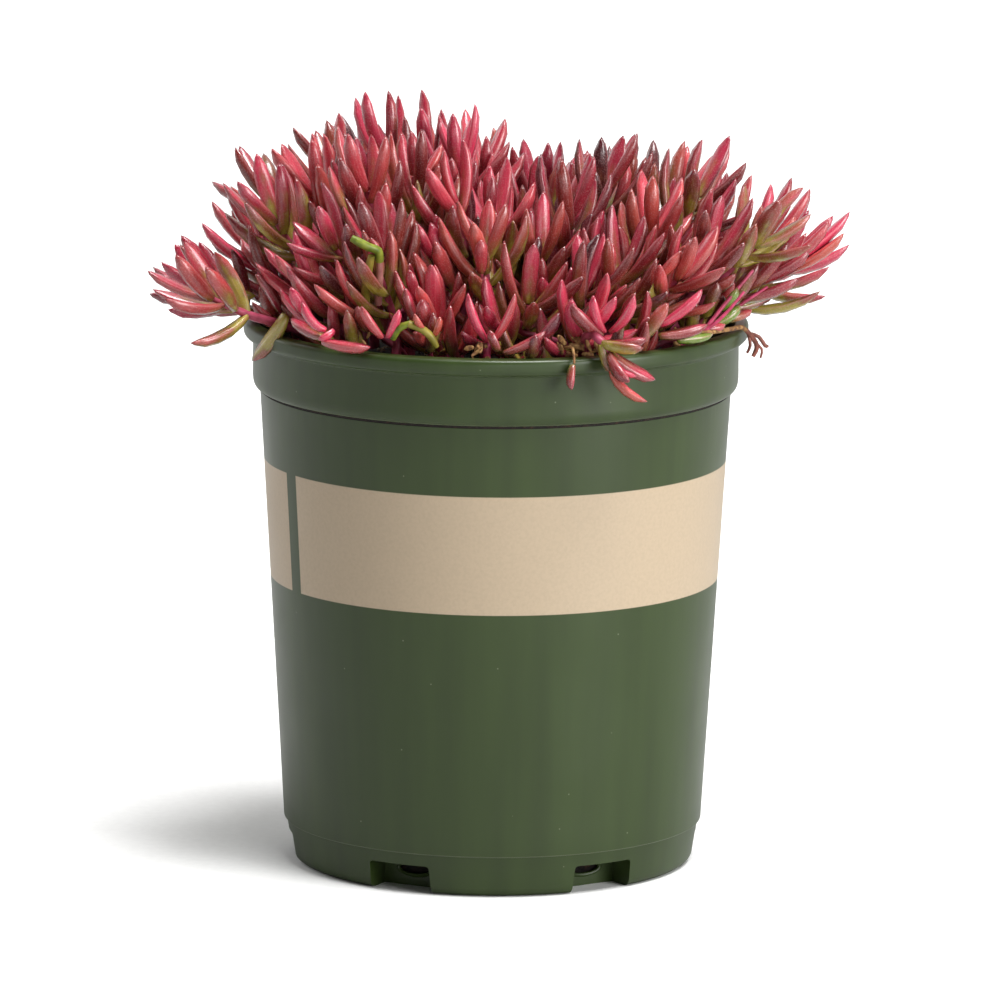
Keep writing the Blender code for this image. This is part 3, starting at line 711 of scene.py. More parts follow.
def stem_skin(name, codes):
    """Fresh succulent stem: thin smooth skin over wet tissue, so softly glossy and patchy in colour."""
    stops = [(0.35, linear(codes[0])), (0.66, linear(codes[1]))]
    return blotched(name, 4.0 * MM, 3.0, stops, (0.4, 0.3 * MM), {"Roughness": 0.38, "IOR": 1.42})


def bark_crumb(soil):
    """Chipped pine bark and peat lumps: torn, fibrous and matt, each crumb a little different."""
    material, tree = new_material("chipped_pine_bark")
    here = node(tree, "ShaderNodeTexCoord").outputs["Object"]
    tone = node(tree, "ShaderNodeAttribute", attribute_name="tone")
    fibres = noise_at(tree, here, 0.7 * MM, 4.0)
    base = ramp(tree, tone.outputs["Fac"], [
        (0.0, linear("#140C07")), (0.55, soil.bark), (0.86, linear("#7A5A38")), (0.96, linear("#CFC4AE")),
    ])
    shade = remapped(tree, fibres, (0.0, 1.0), (0.55, 1.3))
    colour = vector_maths(tree, "MULTIPLY", base, shade)
    bump = node(tree, "ShaderNodeBump", {"Height": fibres, "Strength": 0.8, "Distance": 0.3 * MM})
    return surfaced(material, {"Base Color": colour, "Roughness": 0.82, "Normal": bump})


LEAF_SKIN = "waxy_succulent_leaf"


def leaf_flesh(foliage):
    """Succulent leaf: water-filled flesh under a thin waxy skin, stressed red by sun and cold.

    The flesh lets light in a little, the wax gives long pale highlights, fine bladder cells fleck the skin
    with paler dots that are partly their own colour and partly painted glints, the margins are pinker than
    the middle, and old leaves turn olive from the root up.
    """
    material, tree = new_material(LEAF_SKIN)
    tone, age, warm, green, along = (
        node(tree, "ShaderNodeAttribute", attribute_name=name).outputs["Fac"]
        for name in ("tone", "age", "warm", "green", "leaf_along")
    )
    turn, skin = (
        node(tree, "ShaderNodeAttribute", attribute_name=name).outputs["Vector"]
        for name in ("leaf_turn", "leaf_skin")
    )
    faces = node(tree, "ShaderNodeSeparateXYZ", {"Vector": turn})
    side = maths(tree, "ABSOLUTE", faces.outputs["X"])

    blotch = noise_at(tree, skin, 5.0 * MM, 3.0)
    streak_at = vector_maths(tree, "MULTIPLY", skin, (1.0, 1.0, 0.10))
    streaks = noise_at(tree, streak_at, 0.8 * MM)
    cells = noise_at(tree, skin, 0.40 * MM, 1.0)

    uneven = maths(tree, "MULTIPLY_ADD", blotch, 0.40, tone)
    level = maths(tree, "SUBTRACT", uneven, 0.20)
    cool = ramp(tree, level, [
        (0.02, foliage.wine), (0.36, foliage.burgundy), (0.70, foliage.crimson), (1.0, foliage.pink),
    ])
    brick = ramp(tree, level, [
        (0.02, linear("#3A120D")), (0.36, foliage.russet), (0.70, foliage.rose), (1.0, foliage.coral),
    ])
    flesh = mixed(tree, warm, cool, brick)
    inner = remapped(tree, faces.outputs["Y"], (0.1, 0.9), (0.0, 0.6))
    faced = mixed(tree, inner, flesh, foliage.pink)
    rise = maths(tree, "MULTIPLY_ADD", along, -1.0, age)
    middle = maths(tree, "MULTIPLY_ADD", side, -0.45, rise)
    patchy = maths(tree, "MULTIPLY_ADD", blotch, 1.1, middle)
    olive_share = remapped(tree, patchy, (0.15, 0.85), (0.0, 0.92))
    old = ramp(tree, patchy, [
        (0.30, linear("#95553F")), (0.68, foliage.olive), (1.0, linear("#A39A3A")),
    ])
    aged = mixed(tree, olive_share, faced, old)
    shaded = maths(tree, "MULTIPLY_ADD", along, -0.5, green)
    green_share = remapped(tree, shaded, (0.1, 0.6))
    grown = mixed(tree, green_share, aged, foliage.green)
    tip_share = remapped(tree, along, (0.84, 1.0), (0.0, 0.5))
    tipped = mixed(tree, tip_share, grown, linear("#6A1424"))
    margin = remapped(tree, side, (0.90, 1.0), (0.0, 0.34))
    edged = mixed(tree, margin, tipped, linear("#D88E90"))
    # Painted highlight as well as the cells' own colour: pale flecks over the bladder cells stand in for
    # their glints
    cell_flecks_and_glints = remapped(tree, cells, (0.54, 0.68), (0.0, 0.20))
    flecked_and_glinting = mixed(tree, cell_flecks_and_glints, edged, linear("#DDB0AC"))
    lines = remapped(tree, streaks, (0.0, 1.0), (0.72, 1.22))
    colour = vector_maths(tree, "MULTIPLY", flecked_and_glinting, lines)
    wax = remapped(tree, streaks, (0.0, 1.0), (0.14, 0.36))
    relief = maths(tree, "MULTIPLY_ADD", streaks, 1.6, cells)
    bump = node(tree, "ShaderNodeBump", {"Height": relief, "Strength": 0.55, "Distance": 0.22 * MM})
    return surfaced(material, {
        "Base Color": colour, "Roughness": wax, "IOR": 1.45, "Subsurface Weight": 0.10,
        "Subsurface Radius": (1.0, 0.28, 0.2), "Subsurface Scale": 1.2 * MM, "Coat Weight": 1.0,
        "Coat Roughness": 0.23, "Normal": bump,
    })


def studio_floor():
    """Matt white studio card: rolled paper, so no shine and only the faintest tooth.

    A studio throws little of its floor's light back on its subject, so the card is white only as
    the camera sees it and a mid grey to all other rays.
    """
    material, tree = new_material("matt_white_card")
    here = node(tree, "ShaderNodeTexCoord").outputs["Object"]
    tooth = noise_at(tree, here, 3.0 * MM)
    colour = ramp(tree, tooth, [(0.3, linear("#F2F2F1")), (0.7, linear("#F6F6F5"))])
    seen = node(tree, "ShaderNodeLightPath")
    white = mixed(tree, seen.outputs["Is Camera Ray"], (0.44, 0.44, 0.44), colour)
    return surfaced(material, {"Base Color": white, "Roughness": 0.95, "Specular IOR Level": 0.1})


# The pot and its soil

def rounded(corners):
    """An outline through (radius, height, rounding) corners, each drawn as a short curve."""
    outline = [Vector(corners[0][:2])]
    for before, corner, after in zip(corners, corners[1:], corners[2:]):
        here = Vector(corner[:2])
        back = Vector(before[:2]) - here
        on = Vector(after[:2]) - here
        start = here + back * min(corner[2] / back.length, 0.5)
        end = here + on * min(corner[2] / on.length, 0.5)
        steps = BEND_STEPS if corner[2] else 0
        for i in range(steps + 1):
            t = i / steps if steps else 0.0
            outline.append(start * (1 - t) ** 2 + here * (2 * t * (1 - t)) + end * t * t)
    outline.append(Vector(corners[-1][:2]))
    return outline


def filled_in(outline, step):
    """The outline with its long straight runs cut into steps."""
    dense = [outline[0]]
    for start, end in zip(outline, outline[1:]):
        count = max(1, round((end - start).length / step))
        dense.extend(start.lerp(end, (i + 1) / count) for i in range(count))
    return dense


def turned(name, outline, sides):
    """A closed solid of revolution; its outline starts on the axis below and runs up the outside."""
    rings = [point for point in outline if point.x > 0.0]
    verts = [(0.0, 0.0, outline[0].y), (0.0, 0.0, outline[-1].y)]
    for point in rings:
        for j in range(sides):
            angle = 2.0 * math.pi * j / sides
            verts.append((point.x * math.cos(angle), point.x * math.sin(angle), point.y))
    faces = []
    for j in range(sides):
        k = (j + 1) % sides
        faces.append((0, 2 + k, 2 + j))
        last = 2 + (len(rings) - 1) * sides
        faces.append((1, last + j, last + k))
        for i in range(len(rings) - 1):
            low = 2 + i * sides
            faces.append((low + j, low + k, low + sides + k, low + sides + j))
    mesh = bpy.data.meshes.new(name)
    mesh.from_pydata(verts, [], faces)
    return link_object(name, mesh)


def block_outline(width, height, corner):
    """A pocket's outline from outside: an upright box with a flared foot and rounded top corners."""
    half = width / 2.0
    foot = half * POCKET_FLARE
    points = rounded([
        (foot, -POCKET_CUT_BELOW, 0), (half, height, corner), (-half, height, corner),
        (-foot, -POCKET_CUT_BELOW, 0),
    ])
    return [(point.x, point.y) for point in points]


def pocket_turn(index):
    """The turn about the pot's axis that brings a pocket from the right to its place."""
    return Matrix.Rotation(math.radians(POCKET_FIRST_DEG + index * 360.0 / POCKET_COUNT), 3, "Z")


def bar(name, outline, near, far, index, collection):
    """A bar of this cross-section that points from near to far at one pocket's angle."""
    bm = bmesh.new()
    rings = [[bm.verts.new((x, y, z)) for y, z in outline] for x in (near, far)]
    bm.faces.new(rings[0])
    bm.faces.new(reversed(rings[1]))
    count = len(outline)
    for i in range(count):
        k = (i + 1) % count
        bm.faces.new((rings[0][k], rings[0][i], rings[1][i], rings[1][k]))
    bmesh.ops.recalc_face_normals(bm, faces=bm.faces)
    bmesh.ops.rotate(bm, verts=bm.verts, cent=(0, 0, 0), matrix=pocket_turn(index))
    mesh = bpy.data.meshes.new(name)
    bm.to_mesh(mesh)
    bm.free()
    collection.objects.link(bpy.data.objects.new(name, mesh))


def pocket_blocks(name, grow):
    """All the drain pockets as blocks, their sides and roof moved out by grow."""
    blocks = bpy.data.collections.new(name)
    outline = block_outline(POCKET_WIDTH + 2.0 * grow, POCKET_HEIGHT + grow, POCKET_CORNER + grow)
    for i in range(POCKET_COUNT):
        bar(f"{name}_{i + 1}", outline, POCKET_BACK - grow, LIP_RADIUS + grow, i, blocks)
    return blocks


def cut(obj, collection):
    """Cut a collection's solids out of the object, then delete them."""
    hole = obj.modifiers.new("cut", "BOOLEAN")
    hole.operation = "DIFFERENCE"
    hole.solver = "MANIFOLD"
    hole.operand_type = "COLLECTION"
    hole.collection = collection
    finished_mesh(obj)
    for other in list(collection.objects):
        bpy.data.objects.remove(other, do_unlink=True)
    bpy.data.collections.remove(collection)


def gathered(obj):
    """A collection that holds only this object."""
    held = bpy.data.collections.new(obj.name)
    bpy.context.scene.collection.objects.unlink(obj)
    held.objects.link(obj)
    return held


def make_pot(pot):
    """The moulded pot: lip, band, tapering body, foot with pockets, and the rims of the drain holes."""
    side = pot.wall
    inner = BAND_RADIUS - side
    outline = rounded([
        (0.0, 0.0, 0.0),
        (FOOT_RADIUS - 0.6 * MM, 0.0, 3.0 * MM),
        (BODY_BOTTOM_RADIUS - FOOT_STEP, BODY_BOTTOM - 0.2 * MM, 0.0),
        (BODY_BOTTOM_RADIUS, BODY_BOTTOM, 0.35 * MM),
        (BODY_TOP_RADIUS, BAND_BOTTOM, 0.5 * MM),
        (BAND_RADIUS, BAND_BOTTOM + 1.2 * MM, 3.2 * MM),
        (BAND_RADIUS, LIP_UNDERSIDE, 0.7 * MM),
        (LIP_RADIUS, LIP_UNDERSIDE + 0.8 * MM, 1.6 * MM),
        (LIP_RADIUS, POT_HEIGHT, 1.8 * MM),
        (0.0, POT_HEIGHT, 0.0),
    ])
    inside = rounded([
        (0.0, FLOOR, 0.0),
        (FOOT_RADIUS - side, FLOOR, 1.0 * MM),
        (BODY_BOTTOM_RADIUS - side, BODY_BOTTOM, 0.0),
        (BODY_TOP_RADIUS - side, BAND_BOTTOM - side, 0.5 * MM),
        (inner, BAND_BOTTOM, 0.5 * MM),
        (inner, POT_HEIGHT - 0.5 * MM, 0.8 * MM),
        (inner + 1.5 * MM, POT_HEIGHT + 1.0 * MM, 0.0),
        (0.0, POT_HEIGHT + 1.0 * MM, 0.0),
    ])
    shell = turned("nursery_pot", filled_in(outline, WALL_STEP), pot.sides)
    hollow = turned("hollow", filled_in(inside, WALL_STEP), pot.sides)
    cut(hollow, pocket_blocks("pocket_wall", side))
    cut(shell, gathered(hollow))
    cuts = pocket_blocks("pocket", 0.0)
    oval = [
        (0.5 * DRAIN_WIDTH * math.cos(a), DRAIN_CENTRE_Z + 0.5 * DRAIN_HEIGHT * math.sin(a))
        for a in (2.0 * math.pi * i / DRAIN_SIDES for i in range(DRAIN_SIDES))
    ]
    for i in range(POCKET_COUNT):
        bar(f"drain_{i + 1}", oval, POCKET_BACK - DRAIN_CUT / 2, POCKET_BACK + DRAIN_CUT / 2, i, cuts)
    cut(shell, cuts)
    bm = bmesh.new()
    bm.from_mesh(shell.data)
    add_drain_rims(bm)
    paint_inside(bm, inner)
    bm.to_mesh(shell.data)
    bm.free()
    shell.data.materials.clear()
    shell.data.materials.append(green_polypropylene(pot))
    shell.data.materials.append(black_polypropylene(pot))
    shell.data.shade_smooth()
    shell.data.set_sharp_from_angle(angle=SHARP_FROM)
    place(shell, "pot_plastic", "pot")


def add_drain_rims(bm):
    """A round bead about each drain hole, half sunk in the pocket's back wall."""
    for index in range(POCKET_COUNT):
        turn = pocket_turn(index)
        rings = []
        for i in range(DRAIN_SIDES):
            a = 2.0 * math.pi * i / DRAIN_SIDES
            out = Vector((0.0, math.cos(a), math.sin(a)))
            height = DRAIN_CENTRE_Z + 0.5 * DRAIN_HEIGHT * out.z
            centre = Vector((POCKET_BACK, 0.5 * DRAIN_WIDTH * out.y, height))
            ring = []
            for j in range(RIM_SIDES):
                b = 2.0 * math.pi * j / RIM_SIDES
                beside = out * (math.cos(b) * DRAIN_RIM) + Vector((math.sin(b) * DRAIN_RIM, 0.0, 0.0))
                ring.append(bm.verts.new(turn @ (centre + beside)))
            rings.append(ring)
        for i, ring in enumerate(rings):
            after = rings[(i + 1) % DRAIN_SIDES]
            for j in range(RIM_SIDES):
                k = (j + 1) % RIM_SIDES
                bm.faces.new((ring[j], after[j], after[k], ring[k]))


def paint_inside(bm, inner):
    """Give the black layer to every face that looks in on the soil and to the crown, partly painted shade
    there.
    """
    bm.normal_update()
    for face in bm.faces:
        centre = face.calc_center_median()
        radius = math.hypot(centre.x, centre.y)
        faces_in = face.normal.x * centre.x + face.normal.y * centre.y < -0.5 * radius
        wall = between([(BODY_BOTTOM, BODY_BOTTOM_RADIUS), (BAND_BOTTOM, BODY_TOP_RADIUS)], centre.z)
        within = centre.z > BODY_BOTTOM + 2.0 * MM and faces_in and radius < max(wall, inner) - 0.4 * MM
        # Painted shade as well as the inner layer: the crown's top inside its green edge is black,
        # widening the dark line of the gap beyond the lip
        on_crown = centre.z > POT_HEIGHT - CROWN_DEPTH and radius < LIP_RADIUS - CROWN_GREEN
        lining = centre.z > LIP_UNDERSIDE and faces_in and radius < inner + 1.0 * MM
        if within or on_crown or lining:
            face.material_index = 1


def soil_height(r):
    """Height of the soil's surface at radius r."""
    return SOIL_TOP + SOIL_CROWN * (1.0 - r / BAND_RADIUS)


def make_soil(pot, soil):
    """The soil plug with a crumbly top, and the crumbs that lie on it."""
    side = pot.wall + GAP
    edge = BAND_RADIUS - side
    outline = rounded([
        (0.0, FLOOR + GAP, 0.0),
        (FOOT_RADIUS - side, FLOOR + GAP, 0.0),
        (BODY_BOTTOM_RADIUS - side, BODY_BOTTOM, 0.0),
        (BODY_TOP_RADIUS - side, BAND_BOTTOM - pot.wall, 0.0),
        (edge, BAND_BOTTOM, 0.0),
        (edge, SOIL_TOP - 2.0 * MM, 1.5 * MM),
        (edge * SOIL_SHOULDER, soil_height(edge * SOIL_SHOULDER), 0.0),
        (edge * 0.5, soil_height(edge * 0.5), 0.0),
        (0.0, soil_height(0), 0.0),
    ])
    plug = turned("soil_plug", filled_in(outline, SOIL_STEP), SOIL_SIDES)
    cut(plug, pocket_blocks("soil_pocket", side))
    for v in plug.data.vertices:
        if v.co.z > SOIL_TOP - LUMP_DEPTH:
            lumps = noise.noise(v.co / LUMP_WIDTH) + 0.5 * noise.noise(v.co / CLOD_WIDTH)
            v.co.z += LUMP_HEIGHT * lumps
    plug.data.materials.clear()
    plug.data.materials.append(damp_peat(soil))
    plug.data.shade_smooth()

    top = plug.data.copy()
    bm = bmesh.new()
    bm.from_mesh(top)
    buried = [face for face in bm.faces if face.calc_center_median().z < SOIL_TOP - CRUMB_DEPTH]
    bmesh.ops.delete(bm, geom=buried, context="FACES")
    bm.to_mesh(top)
    bm.free()
    crumbs = link_object("soil_crumbs", top)
    run_tree(crumbs, crumb_tree(), {
        "Density": soil.crumb_density, "Largest": soil.crumb_size, "Seed": soil.seed,
        "Material": bark_crumb(soil),
    })
    place(plug, "potting_soil", "soil")
    place(crumbs, "potting_soil")


def crumb_tree():
    """A tree that scatters small torn lumps over a surface."""
    tree = bpy.data.node_groups.new("Crumbs on a surface", "GeometryNodeTree")
    for name, kind in (("Surface", "Geometry"), ("Density", "Float"), ("Largest", "Float"),
                       ("Seed", "Int"), ("Material", "Material")):
        tree.interface.new_socket(name, in_out="INPUT", socket_type=f"NodeSocket{kind}")
    tree.interface.new_socket("Crumbs", in_out="OUTPUT", socket_type="NodeSocketGeometry")
    given = node(tree, "NodeGroupInput").outputs
    points = node(
        tree, "GeometryNodeDistributePointsOnFaces",
        {"Mesh": given["Surface"], "Density": given["Density"], "Seed": given["Seed"]},
    )
    lump = node(tree, "GeometryNodeMeshIcoSphere", {"Radius": 1.0, "Subdivisions": 1})
    turn = node(
        tree, "FunctionNodeRandomValue", {0: (0.0, 0.0, 0.0), 1: (6.3, 6.3, 6.3), "Seed": 1},
        data_type="FLOAT_VECTOR",
    )
    size = node(
        tree, "FunctionNodeRandomValue", {0: (0.16, 0.16, 0.10), 1: (1.0, 0.62, 0.45), "Seed": 2},
        data_type="FLOAT_VECTOR",
    )
    scale = vector_maths(tree, "SCALE", size, given["Largest"])
    tone = node(tree, "FunctionNodeRandomValue", {"Seed": 3})
    toned = node(
        tree, "GeometryNodeStoreNamedAttribute", {"Geometry": points, "Name": "tone", "Value": tone}
    )
    copies = node(
        tree, "GeometryNodeInstanceOnPoints",
        {"Points": toned, "Instance": lump, "Rotation": turn, "Scale": scale},
    )
    real = node(tree, "GeometryNodeRealizeInstances", {"Geometry": copies})
    here = node(tree, "GeometryNodeInputPosition")
    rough = noise_at(tree, here, 1.2 * MM)
    centred = vector_maths(tree, "SUBTRACT", rough.outputs["Color"], (0.5, 0.5, 0.5))
    shift = vector_maths(tree, "SCALE", centred, 0.9 * MM)
    torn = node(tree, "GeometryNodeSetPosition", {"Geometry": real, "Offset": shift})
    done = node(tree, "GeometryNodeSetMaterial", {"Geometry": torn, "Material": given["Material"]})
    node(tree, "NodeGroupOutput", {"Crumbs": done})
    return tree


# The planting rule, as in the solids

def side_blend(table, x, y):
    """A blend of the table's four sides, by the direction of the point (x, y)."""
    r = math.hypot(x, y) or 1.0
    across = table["right"] if x > 0 else table["left"]
    along = table["back"] if y > 0 else table["front"]
    return (across * x * x + along * y * y) / (r * r)


def mat_top(x, y):
    """Height of the leaf tips over the floor at a place on the plan."""
    return POT_HEIGHT + between(CREST, x / MM) * between(DEPTH_SHARE, y / MM) * MM


def leaf_point(leaf, t):
    """A point on the leaf's curved middle line, t running from root to tip."""
    return leaf.root + leaf.along * (leaf.length * t) + leaf.lift * (leaf.length * leaf.bend * t * t)


def leaf_fullness(t):
    """Half width at t as a share of the widest: plump below the middle, drawn to a point."""
    if t < LEAF_BELLY:
        return LEAF_ROOT_SHARE + (1.0 - LEAF_ROOT_SHARE) * math.sin(0.5 * math.pi * t / LEAF_BELLY)
    return 1.0 - ((t - LEAF_BELLY) / (1.0 - LEAF_BELLY)) ** LEAF_BLUNTNESS


def leaf_balls(leaf, owner, count=BALLS_PER_LEAF):
    """Balls along a leaf, for the clearance test."""
    balls = []
    for i in range(1, count + 1):
        t = i / count
        radius = BALL_SHARE * leaf.half_width * max(leaf_fullness(t), THINNEST_BALL)
        balls.append(Ball(leaf_point(leaf, t), radius, owner, t < LEAF_ROOT_FREE))
    return balls


def stem_balls(stem, owner):
    """Balls along a stem above the soil, for the clearance test."""
    balls = []
    for start, end, radius in zip(stem.points[1:], stem.points[2:], stem.radii[1:]):
        steps = max(1, round((end - start).length / BALL_STEP))
        for i in range(steps):
            balls.append(Ball(start.lerp(end, (i + 0.5) / steps), radius, owner, True))
    return balls


def hits_rim(ball, clearance):
    """Whether a ball touches the pot's rim or the wall below it."""
    r = math.hypot(ball.centre.x, ball.centre.y)
    reach = ball.radius + clearance
    return BAND_RADIUS - WALL - reach < r < LIP_RADIUS + reach and ball.centre.z < POT_HEIGHT + reach


def hits_soil(ball, clearance):
    """Whether a ball touches the soil."""
    r = math.hypot(ball.centre.x, ball.centre.y)
    return r < BAND_RADIUS and ball.centre.z < soil_height(r) + ball.radius + clearance


class Room:
    """The balls of every piece placed so far, sorted into cells of space."""

    def __init__(self):
        self.cells = {}
        self.clearance = CLEARANCE
        self.pot_clearance = CLEARANCE

    def cell(self, point):
        return tuple(math.floor(value / CELL) for value in point)

    def add(self, balls):
        for ball in balls:
            self.cells.setdefault(self.cell(ball.centre), []).append(ball)

    def fits(self, balls, rooted=False):
        """Whether these balls clear the pot, the soil if not rooted in it, and all placed before."""
        return not any(
            hits_rim(ball, self.pot_clearance) or self.hits(ball)
            or (hits_soil(ball, self.pot_clearance) and not rooted)
            for ball in balls
        )

    def hits(self, ball):
        i, j, k = self.cell(ball.centre)
        for index in ((i + a, j + b, k + c) for a in (-1, 0, 1) for b in (-1, 0, 1) for c in (-1, 0, 1)):
            for other in self.cells.get(index, ()):
                if other.owner == ball.owner and (ball.near_root or other.near_root):
                    continue
                if (other.centre - ball.centre).length < other.radius + ball.radius + self.clearance:
                    return True
        return False


def grow_stem(root, head, axis, tuft):
    """A stem that rises straight from its hole, then bends to carry its tuft along the axis."""
    foot = Vector((root.x, root.y, SOIL_TOP - ROOT_DEPTH))
    collar = Vector((root.x, root.y, soil_height(root.length) + STEM_COLLAR))
    rise = (head - collar).length
    low = collar + UP * (STEM_RISE_SHARE * rise)
    high = head - axis * (STEM_LEAN_SHARE * rise)
    points = [foot, collar]
    for t in STEM_BEND_AT:
        s = 1.0 - t
        points.append(s**3 * collar + 3 * s * s * t * low + 3 * s * t * t * high + t**3 * head)
    points += [head, head + axis * tuft]
    return Stem(points, [STEM_RADIUS * taper for taper in STEM_TAPER])


def leaf_tries(draw, root, axis, side, pair, age, tries):
    """The leaf as wished for, then turned, closed up or shortened a little at a time."""
    length, opening, bend = pair
    slenderness = (1.0 - SLIMMING) + SLIMMING * length / LONGEST_LEAF
    for attempt in range(tries):
        give = 1.0 + GIVE_WAY * attempt
        angle = math.radians(opening + draw.uniform(-1, 1) * OPENING_CHANCE_DEG * give)
        turn = Matrix.Rotation(math.radians(draw.uniform(-1, 1) * TURN_CHANCE_DEG * give), 3, axis)
        out = turn @ side
        along = axis * math.cos(angle) + out * math.sin(angle)
        goal = (axis + UP * SKYWARD).normalized()
        lift = goal - along * goal.dot(along)
        if lift.length < SHORTEST_LIFT:
            lift = axis * math.sin(angle) - out * math.cos(angle)
        size = length * draw.uniform(*LENGTH_CHANCE) * (1.0 - SHORTEN * attempt)
        half_width = LEAF_HALF_WIDTH * slenderness * draw.uniform(*WIDTH_CHANCE)
        curve = bend * draw.uniform(*BEND_CHANCE)
        yield Leaf(root - along * LEAF_SINK, along, lift.normalized(), size, half_width, curve, age)


def grow_tuft(draw, room, owner, base, axis, pairs, spin, tries=LEAF_TRIES, count=BALLS_PER_LEAF):
    """Leaves in crossed pairs up a stem, each kept only where there is room for it."""
    leaves = []
    across = axis.orthogonal().normalized()
    for level, pair in enumerate(pairs):
        root = base + axis * (level * NODE_SPACING)
        age = 1.0 - level / (len(pairs) - 1)
        for half in (0, 1):
            turn = Matrix.Rotation(spin + level * math.radians(90) + half * math.pi, 3, axis)
            for leaf in leaf_tries(draw, root, axis, turn @ across, pair, age, tries):
                balls = leaf_balls(leaf, owner, count)
                if room.fits(balls):
                    room.add(balls)
                    leaves.append(leaf)
                    break
    return leaves


def plan_shoot(draw, index):
    """Where one shoot stands, how it leans and where its tuft begins."""
    share = math.sqrt((index + 0.5) / SHOOT_COUNT)
    angle = index * GOLDEN_ANGLE
    x = ROOT_CIRCLE * share * math.cos(angle) + draw.uniform(-1, 1) * ROOT_SCATTER
    y = ROOT_CIRCLE * share * math.sin(angle) + draw.uniform(-1, 1) * ROOT_SCATTER
    root = Vector((x, y * FRONT_SQUEEZE if y < 0 else y, 0.0))
    low = share > LOW_FROM and index % 2 == 0
    spread = 1.0 + (side_blend(REACH, x, y) - 1.0) * math.sqrt(share)
    tip = root * (spread if low or share < LOW_FROM else HIGH_REACH * spread)
    height = (mat_top(tip.x, tip.y) - POT_HEIGHT) * (LOW_HEIGHT if low else 1.0)
    tip.z = POT_HEIGHT + height + draw.uniform(*TIP_CHANCE)
    lean = math.radians(side_blend(LEAN, x, y) * share**LEAN_POWER + (LOW_LEAN_DEG if low else 0.0))
    tilt = Vector((draw.uniform(-1, 1), draw.uniform(-1, 1), 0.0)) * TILT_CHANCE
    axis = (root.normalized() * math.sin(lean) + UP * math.cos(lean) + tilt).normalized()
    head = tip - axis * TUFT_LENGTH
    head.z = max(head.z, LOWEST_HEAD)
    return root, axis, head


def plan_plant(room):
    """Every shoot of the solids: its root on the plan, its stem and its leaves."""
    draw = random.Random(SEED)
    tuft = NODE_SPACING * (len(TUFT_PAIRS) - 0.5)
    hanging = grow_stem(TRAILING_ROOT, TRAILING_HEAD, TRAILING_AXIS, TRAILING_TUFT)
    room.add(stem_balls(hanging, SHOOT_COUNT))
    shoots = []
    for i in range(SHOOT_COUNT):
        root, axis, head = plan_shoot(draw, i)
        stem = grow_stem(root, head, axis, tuft)
        for _ in range(STEM_TRIES):
            if room.fits(stem_balls(stem, i), rooted=True):
                break
            head = head + UP * STEM_LIFT
            stem = grow_stem(root, head, axis, tuft)
        room.add(stem_balls(stem, i))
        shoots.append(Shoot(root, axis, head, stem, []))
    shoots.append(Shoot(TRAILING_ROOT, TRAILING_AXIS, TRAILING_HEAD, hanging, []))
    for i, shoot in enumerate(shoots):
        pairs = TRAILING_PAIRS if i == SHOOT_COUNT else TUFT_PAIRS
        spin = draw.uniform(0.0, math.pi)
        shoot.leaves.extend(grow_tuft(draw, room, i, shoot.head, shoot.axis, pairs, spin))
    return shoots


def grow_branch(start, head, axis, reach):
    """A thin stem that leaves the one that bears it and turns into its tuft's axis."""
    middle = start.lerp(head, 0.5) + (UP - axis) * (BRANCH_BOW * (head - start).length)
    points = [start, middle, head, head + axis * reach]
    return Stem(points, [BRANCH_RADIUS * taper for taper in BRANCH_TAPER])


def stands_well(point):
    """Whether a leaf's end is inside the frame's box, under the main tips and not hung over the lip."""
    low, high = CAD_BOX
    inside = low.x < point.x < high.x and low.y < point.y < high.y
    below = point.z < mat_top(point.x, point.y) - FILL_BELOW
    return inside and below and (point.z > LOWEST_OUTSIDE or math.hypot(point.x, point.y) < OVER_LIP)


def grow_extra(draw, room, owner, knots, tip, axis, size, opening):
    """One side shoot whose tips come near a place, or none where there is no room for its leaves."""
    top = min(mat_top(tip.x, tip.y) + FILL_ABOVE, tip.z)
    head = Vector((tip.x, tip.y, top)) - axis * (TUFT_LENGTH * size)
    if head.z < LOWEST_TUFT or not stands_well(head):
        return None
    pairs = [(length * size, angle * opening, bend) for length, angle, bend in TUFT_PAIRS]
    leaves = grow_tuft(
        draw, room, owner, head, axis, pairs, draw.uniform(0.0, math.pi), FILL_TRIES, FILL_BALLS
    )
    leaves = [leaf for leaf in leaves if stands_well(leaf_point(leaf, 1.0)) and stands_well(leaf.root)]
    if not leaves:
        return None
    reach = NODE_SPACING * (len(pairs) - 0.5) * size
    below = [knot for knot in knots if knot.z < head.z - BRANCH_RISE] or knots[:1]
    return Shoot(knots[0], axis, head, grow_branch(below[-1], head, axis, reach), leaves)


def plan_clump(draw, room, main, layer, owner):
    """One layer of side shoots about a main shoot."""
    across = main.axis.orthogonal().normalized()
    spin = draw.uniform(0.0, 2.0 * math.pi)
    extras = []
    at_edge = (main.head + main.axis * TUFT_LENGTH).xy.length > OPEN_EDGE
    for i in range(layer.edge_count if at_edge else layer.count):
        out = Matrix.Rotation(spin + i * GOLDEN_ANGLE, 3, main.axis) @ across
        tilt = math.radians(draw.uniform(*layer.tilt_deg))
        axis = (main.axis * math.cos(tilt) + out * math.sin(tilt) + UP * SKY_PULL).normalized()
        size = draw.uniform(*layer.size)
        if out.z < STEEPEST_OUT:
            out = -out
        tip = main.head + main.axis * TUFT_LENGTH + out * draw.uniform(*layer.away)
        tip = tip - UP * (draw.uniform(*layer.drop) * max(main.axis.z, LEAST_DROP))
        knots = main.stem.points[1:4]
        extra = grow_extra(draw, room, owner + i, knots, tip, axis, size, layer.opening)
        if extra:
            extras.append(extra)
    return extras


